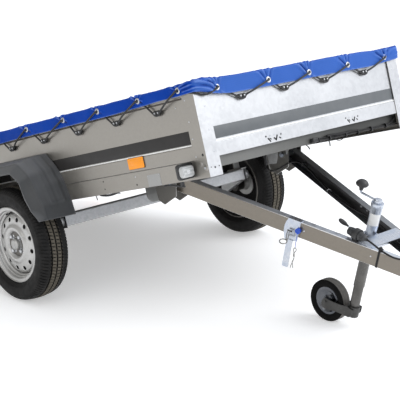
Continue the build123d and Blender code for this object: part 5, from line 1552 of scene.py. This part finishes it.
# marker lamps, facing forward beside the front corners
for name, s in (("right", -1), ("left", 1)):
    pass
hs = Piece("marker_lamp_bodies", ["black"], "bed", "black_plastic", ["marker_lamp_holders"], sharp=30)
ls = Piece("marker_lamp_glass", ["clear", "reflector", "black"], "bed", "white_lens", ["marker_lamp_lenses"], sharp=30)
for s in (-1, 1):
    y = s * 0.6845
    moulded(hs, y - s * 0.008, 0.196, 0.082, 0.064, 0.013, [(1.180, 0.006), (1.184, 0.0015), (1.188, 0.0), (1.2005, 0.0), (1.2030, 0.0012), (1.2035, 0.004)], "x", BED)
    hs.box((1.184, min(s * 0.6425, s * 0.650), 0.172), (1.200, max(s * 0.6425, s * 0.650), 0.218), BED)
    moulded(ls, y + s * -0.002, 0.1945, 0.066, 0.047, 0.014, [(1.2030, 0.0), (1.2140, 0.0006), (1.2190, 0.0018), (1.2220, 0.0040), (1.2236, 0.0072), (1.2242, 0.0120)], "x", BED)
    # bulb boss and the two lens screws
    c = V(1.2242, y - s * 0.0, 0.1945)
    ls.lathe([(-0.0008, 0.0092), (0.0004, 0.0090), (0.0008, 0.0080), (0.0002, 0.0066), (0.0002, 0.0)], c, (1, 0, 0), 28, BED, 1, cap=False)
    for dy in (-0.0235, 0.0235):
        ls.lathe([(-0.0024, 0.0030), (-0.0012, 0.0029), (-0.0008, 0.0022), (-0.0008, 0.0)], V(1.2238, y + dy, 0.1855), (1, 0, 0), 16, BED, 2, cap=False)
hs.done()
ls.done()

# amber side reflectors
rf = Piece("amber_reflectors", ["amber", "black"], "bed", "amber_lens", ["side_reflectors"], sharp=30)
for s in (-1, 1):
    y0 = s * 0.6395
    moulded(rf, 0.854, 0.264, 0.108, 0.050, 0.005, [(y0, 0.0), (y0 + s * 0.0022, 0.0), (y0 + s * 0.0028, 0.0008)], "y", BED, 1)
    moulded(rf, 0.854, 0.264, 0.106, 0.048, 0.005, [(y0 + s * 0.0020, 0.0), (y0 + s * 0.0050, 0.0006), (y0 + s * 0.0058, 0.0016), (y0 + s * 0.0060, 0.0032)], "y", BED, 0)
    moulded(rf, 0.854, 0.264, 0.094, 0.036, 0.003, [(y0 + s * 0.0058, 0.0), (y0 + s * 0.0063, 0.0003), (y0 + s * 0.0066, 0.0010)], "y", BED, 0)
rf.done()

# rear lamp clusters
rl = Piece("rear_lamp_clusters", ["black", "red", "amber", "clear", "steel"], "bed", "red_lens", ["rear_lamps"], sharp=30)
for s in (-1, 1):
    yc = s * 0.520
    moulded(rl, yc, 0.130, 0.190, 0.090, 0.010, [(-1.063, 0.002), (-1.066, 0.0), (-1.079, 0.0), (-1.0815, 0.0012), (-1.082, 0.003)], "x", BED, 0)
    for lo, hi, mat in ((0.5545, 0.6115, 2), (0.4885, 0.5535, 1), (0.4285, 0.4875, 3)):
        cy, w = s * (lo + hi) / 2, hi - lo
        moulded(rl, cy, 0.130, w, 0.083, 0.006, [(-1.0805, 0.0), (-1.0965, 0.0006), (-1.1005, 0.0022), (-1.1022, 0.0050), (-1.1030, 0.0100)], "x", BED, mat)
    for dy in (-0.030, 0.030):
        rl.lathe([(0.0, 0.0040), (0.0008, 0.0038), (0.0012, 0.0030), (0.0012, 0.0)], V(-1.1012, yc + dy, 0.1655), (-1, 0, 0), 16, BED, 4, cap=False)
    rl.tube([V(-1.064, yc, 0.112), V(-1.058, yc, 0.106), V(-1.052, yc - s * 0.010, 0.110), V(-1.046, yc - s * 0.030, 0.118)], 0.0035, 10, BED, 0)
rl.done()

# film stripes in the walls' recessed band, and thin beads along the walls' folds: a painted highlight under the stripes
# and on the front, a painted shadow under the cover's hem
st = Piece("side_stripes", ["stripe_side"], "bed", "black_plastic", sharp=30)
for s in (-1, 1):
    y = s * 0.6355
    for x0, x1 in ((0.150, 1.222), (-1.010, -0.150)):
        moulded(st, (x0 + x1) / 2, 0.3215, x1 - x0, 0.0530, 0.0005, [(y, 0.0), (y + s * 0.0004, 0.0), (y + s * 0.0005, 0.0003)], "y", BED)
st.done()
st = Piece("front_stripe", ["stripe_front"], "bed", "black_plastic", sharp=30)
moulded(st, 0.0, 0.3225, 1.146, 0.0500, 0.0005, [(1.290, 0.0), (1.2904, 0.0), (1.2905, 0.0003)], "x", BED)
st.done()
bd = Piece("fold_lines_painted_highlight_and_shadow", ["bead", "painted_fold_shadow"], "bed", "galvanised", sharp=60)
for s in (-1, 1):
    bd.tube([V(-1.040, s * 0.6374, 0.2905), V(-0.4, s * 0.6374, 0.2905), V(0.4, s * 0.6374, 0.2905), V(1.2245, s * 0.6374, 0.2905)], 0.0031, 12, BED)
    bd.tube([V(-1.040, s * 0.6362, 0.4785), V(-0.4, s * 0.6362, 0.4785), V(0.4, s * 0.6362, 0.4785), V(1.2225, s * 0.6362, 0.4785)], 0.0034, 12, BED, 1)
bd.tube([V(1.2920, -0.572, 0.2905), V(1.2920, 0.0, 0.2905), V(1.2920, 0.572, 0.2905)], 0.0026, 12, BED)
bd.done()

# blank data plate on the right rail, with its four drive screws
dp = Piece("data_plate", ["plate", "steel", "hole"], "bed", "galvanised", sharp=30)
moulded(dp, 0.9475, 0.1805, 0.085, 0.050, 0.002, [(-0.6395, 0.0), (-0.6402, 0.0), (-0.6404, 0.0003)], "y", BED)
for dx in (-0.038, 0.038):
    for dz in (-0.0205, 0.0205):
        rivet(dp, V(0.9475 + dx, -0.6403, 0.1805 + dz), (0, -1, 0), 0.0020, 0.0010, BED, 1)
dp.done()

# rivets, bolts and punched holes in the sheet metal, the holes as near-black discs (painted shade)
rv = Piece("body_rivets", ["steel", "hole", "galv"], "bed", "bright_zinc", sharp=40)
for s in (-1, 1):
    ax = (0, s, 0)
    for x, z in ((1.2403, 0.470), (1.2403, 0.384), (1.2373, 0.2433), (1.2403, 0.315)):
        rivet(rv, V(x, s * 0.6424, z), ax, 0.0036, 0.0018)
    c = V(1.2817, s * 0.6424, 0.194)
    rv.lathe([(0.0, 0.0125), (0.0012, 0.0118), (0.0022, 0.0090), (0.0026, 0.0082)], c, ax, 28, BED, 2)
    rv.hex(c + V(0, s * 0.0024, 0), ax, 0.010, 0.0046, BED, 0)
    spot(rv, V(1.2787, s * 0.6424, 0.2461), ax, 0.0056, BED, 1)
    rv.lathe([(0.0, 0.0100), (0.0010, 0.0094), (0.0018, 0.0070), (0.0020, 0.0)], V(1.2560, s * 0.6424, 0.211), ax, 24, BED, 2, cap=False)
    for x, z, r in ((0.595, 0.211, 0.0034), (0.596, 0.177, 0.0034), (0.826, 0.1730, 0.0040), (-0.460, 0.211, 0.0034), (-0.459, 0.177, 0.0034), (-0.860, 0.175, 0.0040)):
        spot(rv, V(x, s * 0.6394, z), ax, r, BED, 1)
    rivet(rv, V(0.825, s * 0.6394, 0.208), ax, 0.0042, 0.0020)
    rivet(rv, V(-0.860, s * 0.6394, 0.208), ax, 0.0042, 0.0020)
    rivet(rv, V(1.1688, s * 0.6354, 0.4493), ax, 0.0030, 0.0014)
    for x in (-1.025,):
        for z in (0.455, 0.384, 0.315, 0.245, 0.185):
            rivet(rv, V(x, s * 0.6424, z), ax, 0.0036, 0.0018)
    # front flange of the corner post
    for y, z, r in ((0.594, 0.432, 0.0034), (0.597, 0.338, 0.0034), (0.5945, 0.2495, 0.0034)):
        rivet(rv, V(1.2969, s * y, z), (1, 0, 0), r, 0.0017)
    spot(rv, V(1.2969, s * 0.6282, 0.1931), (1, 0, 0), 0.0024, BED, 1)
    spot(rv, V(1.2969, s * 0.6075, 0.1893), (1, 0, 0), 0.0042, BED, 1)
    spot(rv, V(1.2969, s * 0.5851, 0.1912), (1, 0, 0), 0.0028, BED, 1)
rv.done()

# punched slots in the front panel's lower band, in two groups, drawn as near-black shapes on the panel (painted shade)
sl = Piece("punched_slots", ["hole", "steel"], "bed", "galvanised", sharp=40)


def slot(a, b, r, base, mat=0, h=0.00035):
    a, b = Vector(a), Vector(b)
    d = (b - a).normalized()
    q = []
    for c, sgn in ((b, 1), (a, -1)):
        for k in range(7):
            t = math.radians(-90 + 30 * k)
            e = d * math.cos(t) * sgn + Vector((-d.y, d.x)) * math.sin(t) * sgn
            q.append(tuple(c + e * r))
    sl.prism([(y / 1000, z / 1000) for y, z in q], base, base + h, "x", BED, mat)


for cy, k in ((-249.0, 1.0), (258.0, 0.92)):
    cz = 250.5
    for a, b, r in (((-47, 10), (-45, 10), 2.8), ((-35, 0), (-24, -13), 2.7), ((-25, -1), (-18, -5), 1.9), ((1, -3), (11, -12), 2.9), ((11, -12), (20, 5), 2.9),
                    ((32, -5), (38, -9), 2.4), ((43, 5), (45, 9), 2.2)):
        slot((cy + a[0] * k, cz + a[1] * k), (cy + b[0] * k, cz + b[1] * k), r * k * 1.3, 1.2938)
    for a in ((-22, 8), (6, 10)):
        sl.lathe([(0.0, 0.0060), (0.0008, 0.0055), (0.0012, 0.0040), (0.0006, 0.0026), (0.0006, 0.0)], V(1.2939, (cy + a[0] * k) / 1000, (cz + a[1] * k) / 1000), (1, 0, 0), 22, BED, 1, cap=False)
sl.done()

# ---- wiring held along the front cross member --------------------------------
wr = Piece("front_wiring", ["cable", "black", "elastic"], "bed", "black_cable", sharp=60)


def wire(pts, r, mat=0, frame=BED, n=10):
    wr.tube(spline_points([V(*q) for q in pts], Matrix.Identity(4)), r, n, frame, mat)


FX = 1.2685
moulded(wr, 0.010, 0.1965, 0.034, 0.020, 0.004, [(1.2648, 0.001), (1.266, 0.0), (1.281, 0.0), (1.283, 0.0018)], "x", BED, 1)
for dy in (-0.010, -0.003, 0.004, 0.010):
    wr.box((1.2825, 0.010 + dy - 0.0016, 0.1905), (1.2836, 0.010 + dy + 0.0016, 0.2025), BED, 1)
wire([(FX + 0.006, 0.024, 0.199), (FX + 0.003, 0.060, 0.1975), (FX + 0.002, 0.110, 0.196), (FX + 0.002, 0.170, 0.194), (FX + 0.003, 0.230, 0.192), (FX + 0.002, 0.300, 0.191),
      (FX + 0.002, 0.380, 0.189), (FX + 0.002, 0.460, 0.187), (FX + 0.002, 0.530, 0.188), (FX + 0.001, 0.560, 0.196), (FX, 0.585, 0.214)], 0.0034)
wire([(FX + 0.006, 0.024, 0.193), (FX + 0.004, 0.065, 0.189), (FX + 0.004, 0.120, 0.1885), (FX + 0.004, 0.180, 0.187), (FX + 0.005, 0.240, 0.187), (FX + 0.004, 0.320, 0.186),
      (FX + 0.004, 0.400, 0.184), (FX + 0.004, 0.480, 0.182), (FX + 0.003, 0.560, 0.180), (FX, 0.596, 0.181)], 0.0036)
wire([(FX + 0.009, 0.090, 0.202), (FX + 0.009, 0.130, 0.204), (FX + 0.008, 0.170, 0.198), (FX + 0.009, 0.215, 0.197), (FX + 0.008, 0.260, 0.199), (FX + 0.006, 0.300, 0.194)], 0.0045)
# the slack between two ties
wire([(FX + 0.006, 0.135, 0.188), (FX + 0.008, 0.143, 0.178), (FX + 0.008, 0.158, 0.171), (FX + 0.008, 0.178, 0.170), (FX + 0.008, 0.196, 0.176), (FX + 0.006, 0.206, 0.187)], 0.0019)
for y in (0.036, 0.108, 0.215, 0.300, 0.395, 0.500):
    wr.band(rrect(0, 0, 0.016, 0.020, 0.006, 3)[::-1] + [rrect(0, 0, 0.016, 0.020, 0.006, 3)[-1]], y - 0.0018, y + 0.0018, 0.0010, "y", BED @ Matrix.Translation((FX + 0.0035, 0, 0.1915 - 0.018 * (y - 0.1))), 1)
    wr.box((FX + 0.009, y - 0.0030, 0.186 - 0.018 * (y - 0.1)), (FX + 0.0145, y + 0.0030, 0.192 - 0.018 * (y - 0.1)), BED, 1)
# cut tails of two ties
for y, dy, dz in ((-0.046, 0.012, -0.022), (0.100, -0.004, -0.030), (0.395, 0.004, -0.012)):
    q = [V(FX + 0.004, y, 0.186), V(FX + 0.010, y + dy * 0.5, 0.186 + dz * 0.5), V(FX + 0.010, y + dy, 0.186 + dz)]
    for a, b in zip(q, q[1:]):
        d = (b - a).normalized()
        e = V(0, 1, 0) if abs(d.y) < 0.7 else V(0, 0, 1)
        n_ = d.cross(e).normalized() * 0.0006
        w_ = d.cross(n_).normalized() * 0.0034
        v = [a - n_ - w_, a + n_ - w_, a + n_ + w_, a - n_ + w_, b - n_ - w_, b + n_ - w_, b + n_ + w_, b - n_ + w_]
        wr.add([tuple(x) for x in v], [(0, 3, 2, 1), (4, 5, 6, 7), (0, 1, 5, 4), (1, 2, 6, 5), (2, 3, 7, 6), (3, 0, 4, 7)], BED, 1, flip=True)
wr.done()

# wire along the inside of the right rail, with its clip and branch
wr = Piece("rail_wiring", ["cable", "black", "steel"], "bed", "black_cable", sharp=60)
wire([(1.236, -0.560, 0.200), (1.180, -0.594, 0.190), (1.080, -0.600, 0.172), (0.960, -0.600, 0.167), (0.800, -0.600, 0.164), (0.640, -0.600, 0.160), (0.520, -0.600, 0.160), (0.400, -0.598, 0.161),
      (0.200, -0.594, 0.162), (0.000, -0.594, 0.162), (-0.300, -0.594, 0.162), (-0.700, -0.594, 0.162), (-1.000, -0.590, 0.150), (-1.046, -0.560, 0.124)], 0.0036)
for x in (0.430, 0.470, 0.640, 0.060, -0.300, -0.700):
    moulded(wr, x, -0.6015, 0.012, 0.014, 0.002, [(0.1535, 0.0), (0.168, 0.0), (0.169, 0.001)], "z", BED, 1)
wr.tube([V(0.468, -0.602, 0.156), V(0.470, -0.602, 0.146), V(0.472, -0.602, 0.132)], 0.0022, 8, BED, 1)
wr.lathe([(0, 0.004), (0.001, 0.006), (0.006, 0.006), (0.007, 0.004)], V(0.640, -0.602, 0.150), (0, 0, -1), 16, BED, 2)
wire([(0.500, -0.600, 0.152), (0.530, -0.602, 0.147), (0.570, -0.602, 0.145), (0.610, -0.602, 0.148), (0.640, -0.602, 0.153)], 0.0050, 1)
wr.done()

# ---- parked plug, tie on the right beam --------------------------------------
pg = Piece("parked_plug", ["plug", "steel"], "drawbar", "black_plastic", ["trailer_plug"], sharp=34)
prof = [(0.0, 0.0), (0.0, 0.0150), (0.0012, 0.0166), (0.0035, 0.0174), (0.0180, 0.0178), (0.0190, 0.0186), (0.0300, 0.0188), (0.0312, 0.0180), (0.0460, 0.0184), (0.0475, 0.0204), (0.0500, 0.0213),
        (0.0545, 0.0216), (0.0570, 0.0210), (0.0580, 0.0190), (0.0640, 0.0190), (0.0650, 0.0206), (0.0720, 0.0204), (0.0735, 0.0186), (0.0800, 0.0180), (0.0815, 0.0162), (0.0830, 0.0176),
        (0.0862, 0.0172), (0.0876, 0.0154), (0.0892, 0.0166), (0.0922, 0.0160), (0.0936, 0.0140), (0.0952, 0.0150), (0.0978, 0.0142), (0.1000, 0.0112), (0.1040, 0.0084), (0.1100, 0.0072), (0.1140, 0.0064), (0.1140, 0.0)]
pg.lathe([(t * 0.85, r) for t, r in prof], V(0.8095, -0.122, 0.062), (1, 0, 0), 48, BAR, 0, cap=False)
for k in range(14):
    a = 2 * math.pi * k / 14
    c = V(0.0, 0.0187 * math.cos(a), 0.0187 * math.sin(a))
    pg.rod(V(0.8252, -0.122, 0.062) + c, V(0.8354, -0.122, 0.062) + c, 0.0012, 8, BAR, 0)
for a in (math.radians(20), math.radians(200)):
    c = V(0.0, 0.0196 * math.cos(a), 0.0196 * math.sin(a))
    pg.rod(V(0.8206, -0.122, 0.062) + c, V(0.8503, -0.122, 0.062) + c, 0.0022, 10, BAR, 0)
pg.done()

tie = Piece("beam_tie", ["cable"], "drawbar", "black_plastic", ["cable_strap"], sharp=50)
h = 0.0348
path = [(-0.0004, -h + 0.002), (-0.0004, 0.0), (-0.0004, h + 0.010), (0.0012, h + 0.0128), (0.0040, h + 0.0140), (0.0140, h + 0.0140), (0.0185, h + 0.0112), (0.0330, h + 0.0022), (0.0366, h - 0.0010),
        (0.0372, h - 0.0040), (0.0372, -h + 0.003), (0.0364, -h + 0.0004), (0.0345, -h - 0.0003), (0.003, -h - 0.0003), (0.0004, -h), (-0.0004, -h + 0.002)]
x0 = 0.968 / math.cos(math.radians(16.29))
tie.band(path, x0 - 0.0010, x0 + 0.0080, 0.0015, "x", RIGHT)
tie.box((x0 - 0.0020, 0.0020, h + 0.0150), (x0 + 0.0090, 0.0110, h + 0.0195), RIGHT)
tie.box((x0 + 0.0005, 0.0110, h + 0.0162), (x0 + 0.0065, 0.0190, h + 0.0176), RIGHT)
tie.done()

# beam fasteners and the wire clip in the left beam's channel
bf = Piece("beam_fasteners", ["steel", "zinc", "hole"], "drawbar", "bright_zinc", sharp=40)
rivet(bf, V(0.6757, -0.0001, 0.0037), (0, -1, 0), 0.0042, 0.0020, RIGHT)
rivet(bf, V(0.9800, -0.0001, 0.0037), (0, -1, 0), 0.0036, 0.0018, RIGHT)
for x in (0.676, 0.980):
    rivet(bf, V(x, 0.0001, 0.0037), (0, 1, 0), 0.0040, 0.0020, LEFT)
for x, z in ((0.6367, 0.0044), (0.6833, 0.0077)):
    bf.lathe([(0.0, 0.0060), (0.0012, 0.0058), (0.0016, 0.0046)], V(x, -0.0042, z), (0, -1, 0), 20, LEFT, 0)
    bf.hex(V(x, -0.0054, z), (0, -1, 0), 0.0080, 0.0034, LEFT, 0)
clip = [(0.4050, -0.0060, -0.0300), (0.4050, -0.0250, -0.0300), (0.4080, -0.0372, -0.0260), (0.4140, -0.0382, -0.0140), (0.4230, -0.0370, -0.0080), (0.4330, -0.0340, -0.0100)]
bf.tube([LEFT @ Vector(p) for p in spline_points([V(*q) for q in clip], Matrix.Identity(4))], 0.0018, 10)
bf.done()

# ---- jockey wheel ------------------------------------------------------------
jt = Piece("jockey_tyre_ring", ["jockey_rubber", "jockey_tread"], "jockey_wheel", "tyre_rubber", ["jockey_tyre"], sharp=40)
prof = [(-0.0150, 0.0615), (-0.0205, 0.0618), (-0.0235, 0.0640), (-0.0252, 0.0690), (-0.0262, 0.0715), (-0.0270, 0.0745), (-0.0273, 0.0800), (-0.0270, 0.0850), (-0.0260, 0.0893), (-0.0240, 0.0925), (-0.0210, 0.0943)]
tread = [(-0.0210, 0.0943), (-0.0165, 0.0949), (-0.0102, 0.0950), (-0.0096, 0.0937), (-0.0084, 0.0937), (-0.0078, 0.0950), (0.0078, 0.0950), (0.0084, 0.0937), (0.0096, 0.0937), (0.0102, 0.0950), (0.0165, 0.0949), (0.0210, 0.0943)]
ax = V(0.703, 0, -0.363)
jt.lathe(prof, ax, (0, 1, 0), 96, BAR, 0, cap=False)
jt.lathe([(-a, r) for a, r in reversed(prof)], ax, (0, 1, 0), 96, BAR, 0, cap=False)
jt.lathe(tread, ax, (0, 1, 0), 96, BAR, 1, cap=False)
jt.lathe([(0.0150, 0.0615), (-0.0150, 0.0615)], ax, (0, 1, 0), 96, BAR, 0, cap=False)
ob = jt.done()
w = ob.modifiers.new("weld", "WELD")
w.merge_threshold = 1e-6

# plain white label on the jockey tube, blank
sk = Piece("tube_label", ["sticker"], "jockey_post", "bright_zinc", sharp=30)
v, f = [], []
A0, A1, W0, W1, R0 = math.radians(-112), math.radians(8), 0.0735, 0.1265, 0.02401
rows = 121
for j, (w_, r_) in enumerate(((W0, R0 - 0.0002), (W0, R0), (W0 + 0.0005, R0 + 0.00001), ((W0 + W1) / 2, R0 + 0.00001), (W1 - 0.0005, R0 + 0.00001), (W1, R0), (W1, R0 - 0.0002))):
    for i in range(rows):
        a = A0 + (A1 - A0) * i / (rows - 1)
        v.append((0.835 + r_ * math.cos(a), r_ * math.sin(a), w_))
for j in range(6):
    f += [(j * rows + i, j * rows + i + 1, (j + 1) * rows + i + 1, (j + 1) * rows + i) for i in range(rows - 1)]
for i0 in (0, rows - 1):
    f.append(tuple((j * rows + i0) for j in range(7)) if i0 else tuple((j * rows + i0) for j in reversed(range(7))))
sk.add(v, f, BAR)
sk.done()

# ring on the parking strap of the right beam, hung from a small link
rg = Piece("strap_shackle", ["galv_bracket", "zinc_dull"], "drawbar", "bright_zinc", sharp=60)
rg.torus(RIGHT @ V(0.6113, -0.0460, -0.0528), BED.to_3x3() @ V(0.526, -0.233, 0.819), 0.0158, 0.0025, 40, 10)
link = [(0.6200, -0.0130, -0.0100), (0.6230, -0.0250, -0.0130), (0.6270, -0.0370, -0.0210), (0.6290, -0.0430, -0.0340), (0.6270, -0.0460, -0.0440), (0.6220, -0.0440, -0.0400),
        (0.6170, -0.0370, -0.0240), (0.6130, -0.0250, -0.0140), (0.6120, -0.0130, -0.0100)]
rg.tube(spline_points([RIGHT @ V(*q) for q in link]), 0.0024, 12)
rg.rod(V(0.6080, -0.0160, -0.0110), V(0.6250, -0.0160, -0.0110), 0.0032, 14, RIGHT, 1)
rg.hex(V(0.6250, -0.0160, -0.0110), (1, 0, 0), 0.0085, 0.0040, RIGHT, 1)
rg.done()

# oval hand grip on the clamp screw
G0, G1 = V(0.763, -0.074, 0.050), V(0.8217, -0.031, 0.0116)
gp = Piece("clamp_hand_grip", ["black"], "drawbar", "black_plastic", ["clamp_grip"], sharp=60)
gp.lathe([(-0.0040, 0.0), (-0.0040, 0.0042), (0.0, 0.0050), (0.0050, 0.0060), (0.0120, 0.0082), (0.0200, 0.0099), (0.0270, 0.0104), (0.0340, 0.0098), (0.0400, 0.0078), (0.0440, 0.0050),
          (0.0458, 0.0022), (0.0462, 0.0)], G0, (G0 - G1).normalized(), 32, BAR, 0, cap=False)
gp.done()

# collar under the crank's knob
kc = Piece("crank_knob_collar", ["black"], "jockey_post", "black_plastic", sharp=50)
kc.lathe([(0.0, 0.0056), (0.0008, 0.0074), (0.0030, 0.0082), (0.0085, 0.0090), (0.0118, 0.0098), (0.0125, 0.0088), (0.0128, 0.0056)], V(0.739, 0.0, 0.1880), (0, 0, 1), 32, BAR, 0, cap=False)
kc.done()

# straight stay under the right rail, in its two clips
st = Piece("rail_stay", ["black"], "bed", "black_plastic", sharp=50)
st.rod(V(0.984, -0.6200, 0.1520), V(1.107, -0.6200, 0.1330), 0.0042, 14, BED, 0)
st.box((0.9860, -0.6270, 0.1460), (0.9960, -0.6130, 0.1620), BED)
st.box((1.0900, -0.6270, 0.1320), (1.1000, -0.6130, 0.1620), BED)
st.done()

# crown over the jockey tube's collar, with finger ribs
cr = Piece("tube_crown", ["zinc"], "jockey_post", "bright_zinc", sharp=40)
cr.lathe([(0.0, 0.0178), (0.0012, 0.0182), (0.0135, 0.0174), (0.0160, 0.0160), (0.0170, 0.0120), (0.0172, 0.0)], V(0.835, 0.0, 0.1718), (0, 0, 1), 40, BAR, 0, cap=False)
for i in range(14):
    a = 2 * math.pi * i / 14
    cr.rod(V(0.835 + 0.0176 * math.cos(a), 0.0176 * math.sin(a), 0.1722), V(0.835 + 0.0170 * math.cos(a), 0.0170 * math.sin(a), 0.1850), 0.0014, 8, BAR, 0)
cr.done()

# light stiffener and folded tab on the far pivot bracket
tb = Piece("bracket_tabs", ["galv_dip"], "bed", "galvanised", bevel=0.0006, sharp=30)
tb.prism([(0.6650, 0.1613), (0.7403, 0.1583), (0.7330, 0.1330), (0.7161, 0.1064), (0.6690, 0.1090)], 0.3150, 0.3179, "y", BED, 0)
tb.prism([(0.7960, 0.2050), (0.8250, 0.2050), (0.8225, 0.1850), (0.8120, 0.1650), (0.7990, 0.1400), (0.7940, 0.1420), (0.7985, 0.1750)], 0.3150, 0.3179, "y", BED, 0)
tb.done()

for o in list(bpy.context.scene.objects):
    if "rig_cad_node" in o and not o.hide_render and not o.data.materials:
        o.data.materials.append(M["black"])
